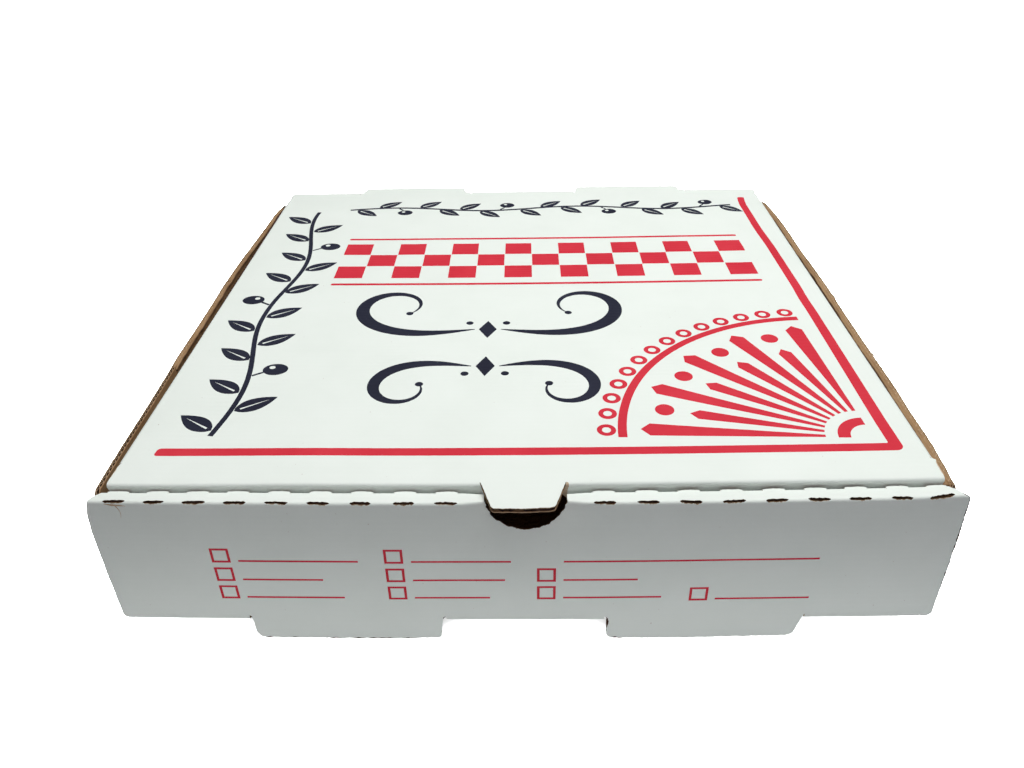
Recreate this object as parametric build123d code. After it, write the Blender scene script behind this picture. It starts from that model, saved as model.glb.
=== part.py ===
from build123d import *
import math
import os

# Pizza box folded from one die-cut sheet of thin corrugated board.
# Millimetres, +Z up, +X to the right as seen from the front, front at -Y.
# The shape is laid out from the front wall's outer face (y = 0) and the
# underside of the bottom panel (z = 0), then moved so that the origin is the
# bottom centre of the whole box.

# ---------------------------------------------------------------- dimensions
T = 1.7              # board thickness
RI = 0.5             # inside radius of an ordinary fold
RO = RI + T          # outside radius of an ordinary fold
GAP = 0.2            # air between layers that lie on each other

FRONT_W = 266.0      # outer front wall, raw edge to raw edge
FRONT_H = 50.8       # fold to fold (2 in)
SIDE_X = 131.5       # outer face of a side wall, from the middle
SIDE_TOP = 50.5      # raw top edge of a side wall
DEPTH = 257.4        # outer face of the front wall to outer face of the rear

ROLL = 3 * T + 2 * GAP   # thickness of the rolled-over front wall
ROLL_R = 1.5             # outside radius of the two perforated roll folds
INNER_X = 128.6          # half width of the inner front wall
STRIP_X = 129.2          # half width of the top strip at its inner fold

SLIT_PITCH = 12.52   # perforation on the roll folds
SLIT_FIRST = 24.0    # first slit each side of the middle
SLIT_N = 9           # slits each side
SLIT_L = 6.0         # length of one slit
SLIT_W = 0.7         # width of one slit
TOOTH_T = 1.2        # thickness of a tooth on the rear fold, pressed thin
TOOTH_OUT = 0.55     # how far a tooth stands past the inner front wall

NOTCH_X = 0.7        # thumb notch, middle
NOTCH_A = 12.5       # half width
NOTCH_B = 10.5       # depth below the top of the wall

FOOT_IN = 26.8       # front feet: inner and outer ends at the fold
FOOT_OUT = 89.8
FOOT_H = 8.6         # below the bottom panel
SLOT_Y = RO + 8.6    # rear edge of the slot that a foot leaves behind
LOCK_IN = 31.4       # lock tabs of the inner wall
LOCK_OUT = 85.4
LOCK_Z = -1.2        # lowest edge of the lock tabs

CORNER_F = 46.0      # length of the front corner flaps
CORNER_R = 33.0      # length of the rear corner flaps

LID_W = 254.0        # lid over its side folds
LID_Y0 = 6.4         # front face of the lid's front fold
LID_Z = 52.8         # top face of the lid
LID_RAW = 0.9        # how far the raw front corners stand past the side folds
FLAP_LEN = 34.0      # straight length of the lid's front flap
FLAP_LEAN = 5.0      # degrees that the front flap leans into the box
SIDE_FLAP = 33.0     # straight length of the lid's side flaps
SIDE_Y0 = 17.0       # front end of the side flaps
SIDE_Y1 = 249.5      # rear end of the side flaps

TONGUE_Y = -5.6      # front edge of the tongue
TONGUE_ROOT = 12.85  # half width at the root
TONGUE_TIP = 9.2     # half width at the front edge
TONGUE_CUT = 0.2     # how far the root's cuts run into the lid panel

LUG_IN = 28.7        # rear lugs: inner and outer ends at the crease
LUG_OUT = 88.8
LUG_LEN = 6.5        # past the rear face
LUG_FREE = 0.5       # room between a lug and its window
HINGE_GAP = 0.15     # half the gap at the rear crease

Y_MID = (TONGUE_Y + DEPTH + LUG_LEN) / 2.0

# ------------------------------------------------------------------- helpers
PLANE_XY = Plane.XY
PLANE_YZ = Plane.YZ                                   # (u, v) = (y, z), +X
PLANE_XZ = Plane(origin=(0, 0, 0), x_dir=(1, 0, 0), z_dir=(0, -1, 0))


def outline(points):
    """Closed face from (u, v, corner radius) points, arcs at the corners."""
    n = len(points)
    ends = []
    for i in range(n):
        u, v, r = points[i]
        if r <= 0:
            ends.append(((u, v), None, (u, v)))
            continue
        pu, pv, _ = points[i - 1]
        nu, nv, _ = points[(i + 1) % n]
        ax, ay = pu - u, pv - v
        bx, by = nu - u, nv - v
        la, lb = math.hypot(ax, ay), math.hypot(bx, by)
        ax, ay, bx, by = ax / la, ay / la, bx / lb, by / lb
        half = math.acos(max(-1.0, min(1.0, ax * bx + ay * by))) / 2.0
        d = r / math.tan(half)
        h = r / math.sin(half)
        mx, my = ax + bx, ay + by
        lm = math.hypot(mx, my)
        mx, my = mx / lm, my / lm
        ends.append(((u + ax * d, v + ay * d),
                     (u + mx * (h - r), v + my * (h - r)),
                     (u + bx * d, v + by * d)))
    edges = []
    for i in range(n):
        a, mid, b = ends[i]
        if mid is not None:
            edges.append(ThreePointArc(a, mid, b))
        c = ends[(i + 1) % n][0]
        if math.hypot(c[0] - b[0], c[1] - b[1]) > 1e-6:
            edges.append(Line(b, c))
    return make_face(edges)


def sharp(*pts):
    return [(u, v, 0.0) for u, v in pts]


def slab(plane, points, a, b):
    """Outline in a plane, from height a to height b along its normal."""
    return extrude(plane.offset(a) * outline(points), amount=b - a)


def across_x(points, x0, x1):
    return slab(PLANE_YZ, points, x0, x1)


def across_y(points, y0, y1):
    return slab(PLANE_XZ, points, -y1, -y0)


def across_z(points, z0, z1):
    return slab(PLANE_XY, points, z0, z1)


def fold(plane, c, start, size, a, b, ri=RI, ro=RO):
    """Fold: a sector of a ring about c, from angle start through size."""
    s, e = math.radians(start), math.radians(start + size)

    def at(r, w):
        return (c[0] + r * math.cos(w), c[1] + r * math.sin(w))
    m = 0.5 * (s + e)
    face = make_face([
        ThreePointArc(at(ro, s), at(ro, m), at(ro, e)),
        Line(at(ro, e), at(ri, e)),
        ThreePointArc(at(ri, e), at(ri, m), at(ri, s)),
        Line(at(ri, s), at(ro, s))])
    return extrude(plane.offset(a) * face, amount=b - a)


def both(solid):
    return [solid, mirror(solid, about=Plane.YZ)]


def joined(parts):
    out = parts[0]
    for p in parts[1:]:
        out = out + p
    return out


# ---------------------------------------------------------------------- tray
XF = SIDE_X - RO                     # bottom panel's edge, where folds start
Y_FLAP = T + GAP                     # outer face of the front corner flaps
Y_RFLAP = DEPTH - T - GAP            # outer face of the rear corner flaps
YF0 = Y_FLAP + RO                    # side walls run between these two
YF1 = Y_RFLAP - RO

bottom = across_z(sharp((-XF, RO), (XF, RO), (XF, DEPTH - RO), (-XF, DEPTH - RO)), 0, T)

tray_parts = [bottom]

# front bottom fold, between the side folds
tray_parts.append(fold(PLANE_YZ, (RO, RO), 180, 90, -XF, XF))
# rear bottom fold
tray_parts.append(fold(PLANE_YZ, (DEPTH - RO, RO), 270, 90, -XF, XF))

# outer front wall, its ends raw and its lower corners rounded
hw = FRONT_W / 2.0
tray_parts.append(across_y([
    (-hw, 0.3, 2.5), (hw, 0.3, 2.5),
    (hw, FRONT_H - ROLL_R, 0), (-hw, FRONT_H - ROLL_R, 0)], 0, T))

# rolled top of the front wall: strip between two perforated folds
tray_parts.append(fold(PLANE_YZ, (ROLL_R, FRONT_H - ROLL_R), 90, 90, -hw, hw, 0.0001, ROLL_R))
tray_parts.append(across_x(sharp(
    (T - 0.3, FRONT_H - T), (ROLL_R, FRONT_H - T), (ROLL_R, FRONT_H),
    (T - 0.3, FRONT_H)), -hw, hw))
strip_top = across_x([
    (0.2, FRONT_H - T, 0), (ROLL - ROLL_R, FRONT_H - T, 0), (ROLL - ROLL_R, FRONT_H, 0),
    (ROLL_R, FRONT_H, 0), (ROLL_R, FRONT_H - 0.9, 0), (0.2, FRONT_H - 0.9, 0)], -hw, hw)
tray_parts.append(strip_top)
tray_parts.append(fold(PLANE_YZ, (ROLL - ROLL_R, FRONT_H - ROLL_R), 0, 90, -hw, hw, 0.0001, ROLL_R))
tray_parts.append(across_x(sharp(
    (ROLL - T, FRONT_H - T - 0.6), (ROLL - 0.2, FRONT_H - T - 0.6),
    (ROLL - 0.2, FRONT_H - 0.9), (ROLL - T, FRONT_H - 0.9)), -hw, hw))
# inner front wall, with two lock tabs in the feet's slots
inner = [(-hw, FRONT_H - ROLL_R, 0), (-hw, T + 0.3, 0),
         (-LOCK_OUT - 3, T + 0.3, 0), (-LOCK_OUT, LOCK_Z, 1.2), (-LOCK_IN, LOCK_Z, 1.2),
         (-LOCK_IN + 3, T + 0.3, 0), (LOCK_IN - 3, T + 0.3, 0), (LOCK_IN, LOCK_Z, 1.2),
         (LOCK_OUT, LOCK_Z, 1.2), (LOCK_OUT + 3, T + 0.3, 0), (hw, T + 0.3, 0),
         (hw, FRONT_H - ROLL_R, 0)]
tray_parts.append(across_y(inner, ROLL - T, ROLL))

# side walls: fold at the bottom, raw top edge, rear top corner sloped away
for s in both(fold(PLANE_XZ, (XF, RO), 270, 90, -YF1, -YF0)):
    tray_parts.append(s)
side = [(YF0, RO, 0), (YF1, RO, 0), (YF1, 46.0, 0), (YF1 - 3.0, 47.6, 3.0),
        (235.0, 49.6, 12.0), (212.0, SIDE_TOP, 12.0), (YF0 + 7.0, SIDE_TOP, 4.0),
        (YF0, SIDE_TOP - 2.6, 0)]
for s in both(across_x(side, SIDE_X - T, SIDE_X)):
    tray_parts.append(s)

# front corner flaps, inside the rolled wall
for s in both(fold(PLANE_XY, (XF, YF0), 270, 90, T + 0.4, SIDE_TOP - 2.6)):
    tray_parts.append(s)
flap = [(XF, T + 0.4, 0), (XF, SIDE_TOP - 2.6, 0), (XF - CORNER_F + 6, SIDE_TOP - 2.6, 5.0),
        (XF - CORNER_F, 30.0, 5.0), (XF - CORNER_F, T + 0.4, 2.0)]
for s in both(across_y(flap, Y_FLAP, Y_FLAP + T)):
    tray_parts.append(s)

# rear corner flaps, inside the rear wall
for s in both(fold(PLANE_XY, (XF, YF1), 0, 90, T + 0.4, 44.4)):
    tray_parts.append(s)
rflap = [(XF, T + 0.4, 0), (XF, 44.4, 0), (XF - CORNER_R + 6, 44.4, 5.0),
         (XF - CORNER_R, 28.0, 5.0), (XF - CORNER_R, T + 0.4, 2.0)]
for s in both(across_y(rflap, Y_RFLAP - T, Y_RFLAP)):
    tray_parts.append(s)

# rear wall, up to the crease, and its half of the crease
XR = XF + 1.2
tray_parts.append(across_y([
    (-XR, RO - 0.6, 1.5), (XR, RO - 0.6, 1.5), (XR, LID_Z - RO, 0), (-XR, LID_Z - RO, 0)],
    DEPTH - T, DEPTH))
half_turn = 45.0 - math.degrees(HINGE_GAP / RO)
XC = LID_W / 2.0 - 1.0
tray_parts.append(fold(PLANE_YZ, (DEPTH - RO, LID_Z - RO), 0, half_turn, -XC, XC))

tray = joined(tray_parts)

# feet: cut from the bottom panel, left in line with the outer front wall
slot = [(FOOT_IN - 0.2, -1.0, 0), (FOOT_OUT + 0.2, -1.0, 0), (FOOT_OUT + 0.2, RO, 0),
        (FOOT_OUT - 0.9, SLOT_Y, 3.0), (FOOT_IN + 0.8, SLOT_Y, 2.0), (FOOT_IN - 0.2, RO, 0)]
for s in both(across_z(slot, -0.5, T + 0.5)):
    tray = tray - s
foot = [(FOOT_IN, 3.0, 0), (FOOT_IN, 0.0, 0), (FOOT_IN + 0.8, -FOOT_H, 2.0),
        (FOOT_OUT - 1.1, -FOOT_H, 3.0), (FOOT_OUT, 0.0, 0), (FOOT_OUT, 3.0, 0)]
for s in both(across_y(foot, 0, T)):
    tray = tray + s
# the lock tabs go down through the slots
lock = [(LOCK_IN - 3, T + 0.3, 0), (LOCK_IN, LOCK_Z, 1.2), (LOCK_OUT, LOCK_Z, 1.2),
        (LOCK_OUT + 3, T + 0.3, 0), (LOCK_OUT + 3, T + 3, 0), (LOCK_IN - 3, T + 3, 0)]
for s in both(across_y(lock, ROLL - T, ROLL)):
    tray = tray + s

# the strip narrows from its outer fold to its inner fold, so that the inner
# wall goes in between the side walls
taper = [(hw + 5, T + 0.02, 0), (hw + 5, ROLL + 1, 0), (INNER_X, ROLL + 1, 0),
         (INNER_X, ROLL - T - 0.02, 0), (STRIP_X, ROLL - T - 0.02, 0), (hw - 0.6, T + 0.02, 0)]
for s in both(across_z(taper, FRONT_H - T - 0.01, FRONT_H + 1)):
    tray = tray - s
for s in both(across_z(sharp((INNER_X, T + 0.02), (hw + 5, T + 0.02), (hw + 5, ROLL + 1),
                             (INNER_X, ROLL + 1)), SIDE_TOP - 2.6 + 0.2, FRONT_H - T)):
    tray = tray - s
for s in both(across_z(sharp((INNER_X, ROLL - T - 0.01), (SIDE_X - T - 0.01, ROLL - T - 0.01),
                             (SIDE_X - T - 0.01, ROLL + 0.01), (INNER_X, ROLL + 0.01)),
                       T + 0.2, SIDE_TOP - 2.4)):
    tray = tray - s

# thumb notch through all layers of the rolled wall
notch = Pos(NOTCH_X, 0, FRONT_H) * extrude(
    PLANE_XZ * Ellipse(NOTCH_A, NOTCH_B), amount=-(ROLL + 2))
notch = Pos(0, -1, 0) * notch
tray = tray - notch

# perforation: slits through the strip's front fold, and on its rear fold
# short teeth that stay flat with the strip while the board turns down
for i in range(SLIT_N):
    for sgn in (-1, 1):
        x = sgn * (SLIT_FIRST + SLIT_PITCH * i)
        k = 0.45 * ROLL_R
        tray = tray - Pos(x, k, FRONT_H - k) * Rot(45, 0, 0) * Box(SLIT_L, SLIT_W, 4.4)
        tray = tray - Pos(x, ROLL - 0.4, FRONT_H - TOOTH_T - 0.4) * Box(SLIT_L + 0.3, 3.0, 0.8)
        tray = tray + Pos(x, ROLL + TOOTH_OUT - 1.0, FRONT_H - TOOTH_T / 2) * Box(SLIT_L, 2.0, TOOTH_T)

# windows that the lid's lugs leave in the rear wall
win_z = LID_Z - RO - LUG_LEN - 0.6
window = [(LUG_IN - LUG_FREE, LID_Z + 1, 0), (LUG_IN - LUG_FREE, LID_Z - RO, 0),
          (LUG_IN + 4.0 - LUG_FREE, win_z, 2.5), (LUG_OUT - 4.0 + LUG_FREE, win_z, 2.5),
          (LUG_OUT + LUG_FREE, LID_Z - RO, 0), (LUG_OUT + LUG_FREE, LID_Z + 1, 0)]
for s in both(across_y(window, DEPTH - T - 1, DEPTH + 1)):
    tray = tray - s

# ----------------------------------------------------------------------- lid
lw = LID_W / 2.0
xl = lw - RO
yl = LID_Y0 + RO
yr = DEPTH - RO
zb = LID_Z - T
lid_parts = []
lid_parts.append(across_z([
    (-xl, yl, 0), (xl, yl, 0), (xl, yr, 0), (-xl, yr, 0)], zb, LID_Z))
# raw corners in front of the side flaps
for s in both(across_z([
        (xl - 1, yl, 0), (lw + LID_RAW - 2.0, yl, 0), (lw + LID_RAW, yl + 3.0, 2.0),
        (lw + LID_RAW, SIDE_Y0 - 1.5, 1.0), (xl, SIDE_Y0 - 0.4, 0), (xl - 1, SIDE_Y0 - 0.4, 0)],
        zb, LID_Z)):
    lid_parts.append(s)

# front flap: fold and panel, leaning into the box
cf = (yl, LID_Z - RO)
fx = lw - 0.7
lid_parts.append(fold(PLANE_YZ, cf, 90, 90 + FLAP_LEAN, -fx, fx))
w = math.radians(180 + FLAP_LEAN)
plane_flap = Plane(origin=(0, cf[0], cf[1]), x_dir=(1, 0, 0), z_dir=(0, math.cos(w), math.sin(w)))
lid_parts.append(slab(plane_flap, [
    (-fx, 0, 0), (fx, 0, 0), (fx - 2.5, -FLAP_LEN * 0.4, 0), (fx - 11.0, -FLAP_LEN, 6.0),
    (-fx + 11.0, -FLAP_LEN, 6.0), (-fx + 2.5, -FLAP_LEN * 0.4, 0)], RI, RO))

# side flaps
for s in both(fold(PLANE_XZ, (xl, LID_Z - RO), 0, 90, -SIDE_Y1, -SIDE_Y0)):
    lid_parts.append(s)
sf = [(SIDE_Y0, LID_Z - RO, 0), (SIDE_Y1, LID_Z - RO, 0),
      (SIDE_Y1 - 8.0, LID_Z - RO - SIDE_FLAP, 8.0), (SIDE_Y0 + 8.0, LID_Z - RO - SIDE_FLAP, 8.0)]
for s in both(across_x(sf, lw - T, lw)):
    lid_parts.append(s)

# rear crease: the lid's half
lid_parts.append(fold(PLANE_YZ, (yr, LID_Z - RO), 90 - half_turn, half_turn, -XC, XC))
for s in both(across_z([
        (xl - 1, SIDE_Y1 + 0.4, 0), (xl, SIDE_Y1 + 0.4, 0), (lw - 0.2, SIDE_Y1 + 1.6, 1.0),
        (lw - 0.2, yr, 0), (xl - 1, yr, 0)], zb, LID_Z)):
    lid_parts.append(s)
lid = joined(lid_parts)

# the tongue stays flat, and leaves its own shape open in the front flap
ty = yl + TONGUE_CUT
tongue_cut = across_z(sharp(
    (-TONGUE_ROOT - 0.35, LID_Y0 - 3), (TONGUE_ROOT + 0.35, LID_Y0 - 3),
    (TONGUE_ROOT + 0.35, ty), (-TONGUE_ROOT - 0.35, ty)), LID_Z - RO - 0.01, LID_Z + 1)
lid = lid - tongue_cut
tl = yl - TONGUE_Y
lid = lid - slab(plane_flap, [
    (-TONGUE_ROOT - 0.3, 1.0, 0), (-TONGUE_ROOT + 0.5, -2.0, 0), (-TONGUE_TIP - 0.3, -tl + 3.4, 2.0),
    (TONGUE_TIP + 0.3, -tl + 3.4, 2.0), (TONGUE_ROOT - 0.5, -2.0, 0), (TONGUE_ROOT + 0.3, 1.0, 0)],
    RI - 0.5, RO + 1)
lid = lid - across_x(sharp(
    (LID_Y0 - 1, LID_Z - RO - 1.2), (yl + 0.2, LID_Z - RO - 1.2), (yl + 0.2, LID_Z - RO + 0.1),
    (LID_Y0 - 1, LID_Z - RO + 0.1)), -TONGUE_ROOT - 0.3, TONGUE_ROOT + 0.3)
lid = lid + across_z([
    (-TONGUE_ROOT, ty + 0.01, 0), (-TONGUE_TIP, TONGUE_Y, 1.2), (TONGUE_TIP, TONGUE_Y, 3.0),
    (TONGUE_ROOT, ty + 0.01, 0)], zb, LID_Z)

# rear lugs, flat with the lid
lug_gap = [(LUG_IN - 0.3, yr, 0), (LUG_OUT + 0.3, yr, 0), (LUG_OUT + 0.3, DEPTH + 1, 0),
           (LUG_IN - 0.3, DEPTH + 1, 0)]
for s in both(across_z(lug_gap, zb - 1, LID_Z + 1)):
    lid = lid - s
lug = [(LUG_IN, yr - 0.5, 0), (LUG_IN, DEPTH - 0.8, 0), (LUG_IN + 4.0, DEPTH + LUG_LEN, 2.5),
       (LUG_OUT - 4.0, DEPTH + LUG_LEN, 2.5), (LUG_OUT, DEPTH - 0.8, 0), (LUG_OUT, yr - 0.5, 0)]
for s in both(across_z(lug, zb, LID_Z)):
    lid = lid + s

# -------------------------------------------------------------------- output
os.makedirs("parts", exist_ok=True)
move = Pos(0, -Y_MID, FOOT_H)
for name, shape in (("tray", tray), ("lid", lid)):
    placed = move * shape
    placed.label = name
    solids = placed.solids()
    print(name, len(solids), "solid(s)", round(placed.volume / 1000.0, 2), "cm3",
          placed.bounding_box())
    export_step(solids[0] if len(solids) == 1 else placed, "parts/%s.step" % name)
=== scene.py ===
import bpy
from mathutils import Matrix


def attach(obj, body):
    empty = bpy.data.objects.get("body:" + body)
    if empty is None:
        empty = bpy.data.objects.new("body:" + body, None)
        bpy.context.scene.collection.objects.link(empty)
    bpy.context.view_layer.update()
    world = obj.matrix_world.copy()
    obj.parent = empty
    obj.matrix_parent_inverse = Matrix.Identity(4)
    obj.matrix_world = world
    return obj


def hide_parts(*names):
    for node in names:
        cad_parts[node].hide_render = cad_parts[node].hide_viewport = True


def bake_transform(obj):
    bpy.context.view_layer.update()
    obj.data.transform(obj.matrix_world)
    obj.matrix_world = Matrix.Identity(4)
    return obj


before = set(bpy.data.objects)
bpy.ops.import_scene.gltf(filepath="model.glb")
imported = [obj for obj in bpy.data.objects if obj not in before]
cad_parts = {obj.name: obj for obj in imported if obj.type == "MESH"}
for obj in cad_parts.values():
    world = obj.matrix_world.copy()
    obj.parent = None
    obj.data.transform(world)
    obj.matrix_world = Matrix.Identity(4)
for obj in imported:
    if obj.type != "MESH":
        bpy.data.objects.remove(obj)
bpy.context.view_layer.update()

import math
import bpy
import bmesh
import numpy as np
from mathutils import Matrix, Vector
from mathutils.geometry import delaunay_2d_cdt

# ------------------------------------------------------------------ sizes, mm
# Front-face frame: x across, y back from the outer front face, z up from the
# underside of the bottom panel.
T = 1.7              # board thickness
RO = 2.2             # outer radius of a fold
RR = 1.0             # outer radius of the two roll folds, pressed sharp by the perforation
RB = 1.2             # outer radius of the front bottom fold
RT = 1.0             # outer radius of the lid's front fold
RS = 1.1             # outer radius of the lid's side folds
H = 50.8             # height of the rolled front wall
D = 257.4            # depth to the outer rear face
SIDE_X = 131.5
SIDE_TOP = 50.5
ROLL = 5.5           # depth of the top strip
INNER_X = 128.6
Y_FLAP = 1.9
ZL = 52.8            # top face of the lid
LW = 127.0           # outer half width of the lid
LID_Y0 = 6.4         # front face of the lid's front fold
XL = LW - RS
YL = LID_Y0 + RT
FLAP_X = 126.4       # half width of the lid's front fold
YSEAM = D - RO - 1.5
ZSEAM = ZL - RO - 1.5
CREASE = 1.5
XF = SIDE_X - RO
YF0 = Y_FLAP + RO
YF1 = D - Y_FLAP - RO
XR = XF + 1.2
XC = 126.7
WIN0, WIN1 = 28.2, 89.3
FEET = {-1: (25.7, 90.8), 1: (26.2, 91.6)}   # ends of the cut beside each foot
SLOT_Y = 10.8
Y_MID, FOOT_H = 129.15, 8.6
A90 = RO * math.pi / 2
AS = RS * math.pi / 2
KB, KT, KS = ((r - 0.15) / T for r in (RB, RT, RS))   # how far tight folds crush the board
SLITS = [-123.3, -111.2, -99.0, -86.6, -74.0, -61.4, -48.7, -35.7, -23.1,
         24.3, 37.2, 49.8, 62.6, 75.3, 87.8, 99.9, 112.3, 124.4]
PITCH = 2.4          # flute pitch
LIN = 0.28           # liner thickness


# ------------------------------------------------------------------ noise
def _hash(i, j, seed):
    n = (np.asarray(i, np.int64) * 374761393 + np.asarray(j, np.int64) * 668265263 + seed * 1442695041) & 0xFFFFFFFF
    n = ((n ^ (n >> 13)) * 1274126177) & 0xFFFFFFFF
    n = (n ^ (n >> 16)) & 0xFFFFFFFF
    return n / 2147483648.0 - 1.0


def noise2(x, y, seed=0):
    x, y = np.asarray(x, float), np.asarray(y, float)
    i, j = np.floor(x).astype(np.int64), np.floor(y).astype(np.int64)
    fx, fy = x - i, y - j
    fx, fy = fx * fx * (3 - 2 * fx), fy * fy * (3 - 2 * fy)
    a = _hash(i, j, seed) * (1 - fx) + _hash(i + 1, j, seed) * fx
    b = _hash(i, j + 1, seed) * (1 - fx) + _hash(i + 1, j + 1, seed) * fx
    return a * (1 - fy) + b * fy


def noise1(x, seed=0):
    return noise2(x, np.zeros_like(np.asarray(x, float)), seed)


def rough(x, seed=0):
    return noise1(x, seed) * 0.6 + noise1(np.asarray(x) * 2.3 + 7.1, seed + 1) * 0.3 + noise1(np.asarray(x) * 5.1 + 3.3, seed + 2) * 0.15


def smooth(t):
    t = np.clip(t, 0.0, 1.0)
    return t * t * (3 - 2 * t)


# ------------------------------------------------------------------ flat outlines
def rounded(pts, n=6):
    """Closed outline from (a, b[, radius]) corners."""
    out, m = [], len(pts)
    for i, p in enumerate(pts):
        r = p[2] if len(p) > 2 else 0.0
        P, A, B = (np.array(q[:2], float) for q in (p, pts[i - 1], pts[(i + 1) % m]))
        if r <= 0:
            out.append((P[0], P[1]))
            continue
        a, b = A - P, B - P
        la, lb = np.linalg.norm(a), np.linalg.norm(b)
        a, b = a / la, b / lb
        ang = math.acos(max(-1.0, min(1.0, float(a @ b))))
        if ang > math.pi - 0.02:
            out.append((P[0], P[1]))
            continue
        t = min(r / math.tan(ang / 2), 0.49 * la, 0.49 * lb)
        r = t * math.tan(ang / 2)
        c = P + (a + b) / np.linalg.norm(a + b) * (r / math.sin(ang / 2))
        p0, p1 = P + a * t - c, P + b * t - c
        a0, a1 = math.atan2(p0[1], p0[0]), math.atan2(p1[1], p1[0])
        d = (a1 - a0 + math.pi) % (2 * math.pi) - math.pi
        for k in range(n + 1):
            out.append((c[0] + r * math.cos(a0 + d * k / n), c[1] + r * math.sin(a0 + d * k / n)))
    return out


def refine(loop, base=4.0, zones=()):
    """Cuts long edges; inside a zone (u0, u1, s0, s1, step, amp, seed) the edge is also made uneven, as torn or die-cut board is."""
    pts, amp = [], []
    m = len(loop)
    for i in range(m):
        a, b = np.array(loop[i], float), np.array(loop[(i + 1) % m], float)
        mid, length = (a + b) / 2, float(np.linalg.norm(b - a))
        if length < 1e-6:
            continue
        z = next((z for z in zones if z[0] <= mid[0] <= z[1] and z[2] <= mid[1] <= z[3]), None)
        n = max(1, math.ceil(length / (z[4] if z else base)))
        for k in range(n):
            pts.append(a + (b - a) * k / n)
            amp.append((z[5], z[6]) if z and (k or n == 1 or length < 1.5) else (0.0, 0))
    P = np.array(pts)
    if any(a for a, _ in amp):
        d = np.roll(P, -1, 0) - np.roll(P, 1, 0)
        d /= np.maximum(np.linalg.norm(d, axis=1, keepdims=True), 1e-9)
        arc = np.concatenate([[0], np.cumsum(np.linalg.norm(np.diff(P, axis=0), axis=1))])
        off = np.array([a * float(rough(x / 1.1, s)) if a else 0.0 for (a, s), x in zip(amp, arc)])
        P = P + np.stack([d[:, 1], -d[:, 0]], 1) * off[:, None]
    return [(float(p[0]), float(p[1])) for p in P]


def inside(q, loops):
    """Even-odd test of points against loops."""
    hit = np.zeros(len(q), bool)
    for loop in loops:
        L = np.asarray(loop, float)
        lo, hi = L.min(0), L.max(0)
        sel = np.nonzero((q[:, 0] >= lo[0]) & (q[:, 0] <= hi[0]) & (q[:, 1] >= lo[1]) & (q[:, 1] <= hi[1]))[0]
        if not len(sel):
            continue
        a, b = L, np.roll(L, -1, 0)
        for c0 in range(0, len(sel), 4000):
            s = sel[c0:c0 + 4000]
            px, py = q[s, 0][:, None], q[s, 1][:, None]
            cr = (a[:, 1] > py) != (b[:, 1] > py)
            with np.errstate(divide="ignore", invalid="ignore"):
                xi = a[:, 0] + (py - a[:, 1]) * (b[:, 0] - a[:, 0]) / (b[:, 1] - a[:, 1])
            hit[s] ^= (np.sum(cr & (px < xi), axis=1) % 2).astype(bool)
    return hit


class Flat:
    """One flat region of the blank, triangulated, with its fold."""

    def __init__(self, loops, fold, warp, lines=(), pts=(), inks=(), seam=None):
        self.loops, self.fold, self.warp, self.seam = loops, fold, warp, seam
        V, E = [], []

        def loop_in(loop):
            n0 = len(V)
            V.extend(loop)
            E.extend((n0 + i, n0 + (i + 1) % len(loop)) for i in range(len(loop)))

        for loop in loops:
            loop_in(loop)
        for a, b in lines:
            n0 = len(V)
            V.extend((a, b))
            E.append((n0, n0 + 1))
        for _, shape in inks:
            for loop in shape:
                loop_in(refine(loop, 5.0))
        V.extend(pts)
        vs, _, fs, _, _, _ = delaunay_2d_cdt([Vector((p[0], p[1])) for p in V], E, [], 0, 1e-5)
        uv = np.array([(v[0], v[1]) for v in vs])
        tri = np.array([f for f in fs if len(f) == 3], int)
        c = uv[tri].mean(1)
        tri = tri[inside(c, loops)]
        p = uv[tri]
        area = (p[:, 1, 0] - p[:, 0, 0]) * (p[:, 2, 1] - p[:, 0, 1]) - (p[:, 1, 1] - p[:, 0, 1]) * (p[:, 2, 0] - p[:, 0, 0])
        tri[area < 0] = tri[area < 0][:, ::-1]
        tri = tri[np.abs(area) > 1e-7]
        used = np.unique(tri)
        back = np.full(len(uv), -1)
        back[used] = np.arange(len(used))
        self.uv, self.tri = uv[used], back[tri]
        c = self.uv[self.tri].mean(1)
        self.ink = np.zeros(len(self.tri), int)
        for mat, shape in inks:
            self.ink[inside(c, shape)] = mat
        e = np.concatenate([self.tri[:, [0, 1]], self.tri[:, [1, 2]], self.tri[:, [2, 0]]])
        key = e[:, 0] * len(self.uv) + e[:, 1]
        rev = e[:, 1] * len(self.uv) + e[:, 0]
        e = e[~np.isin(key, rev)]
        if seam is not None and len(e):
            mid = (self.uv[e[:, 0]] + self.uv[e[:, 1]]) / 2
            e = e[~seam(mid[:, 0], mid[:, 1])]
        self.rim = e

    def place(self, uv, w):
        return self.warp(self.fold(uv[:, 0], uv[:, 1], np.broadcast_to(np.asarray(w, float), uv[:, :1].T.shape[1:])))


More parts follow.
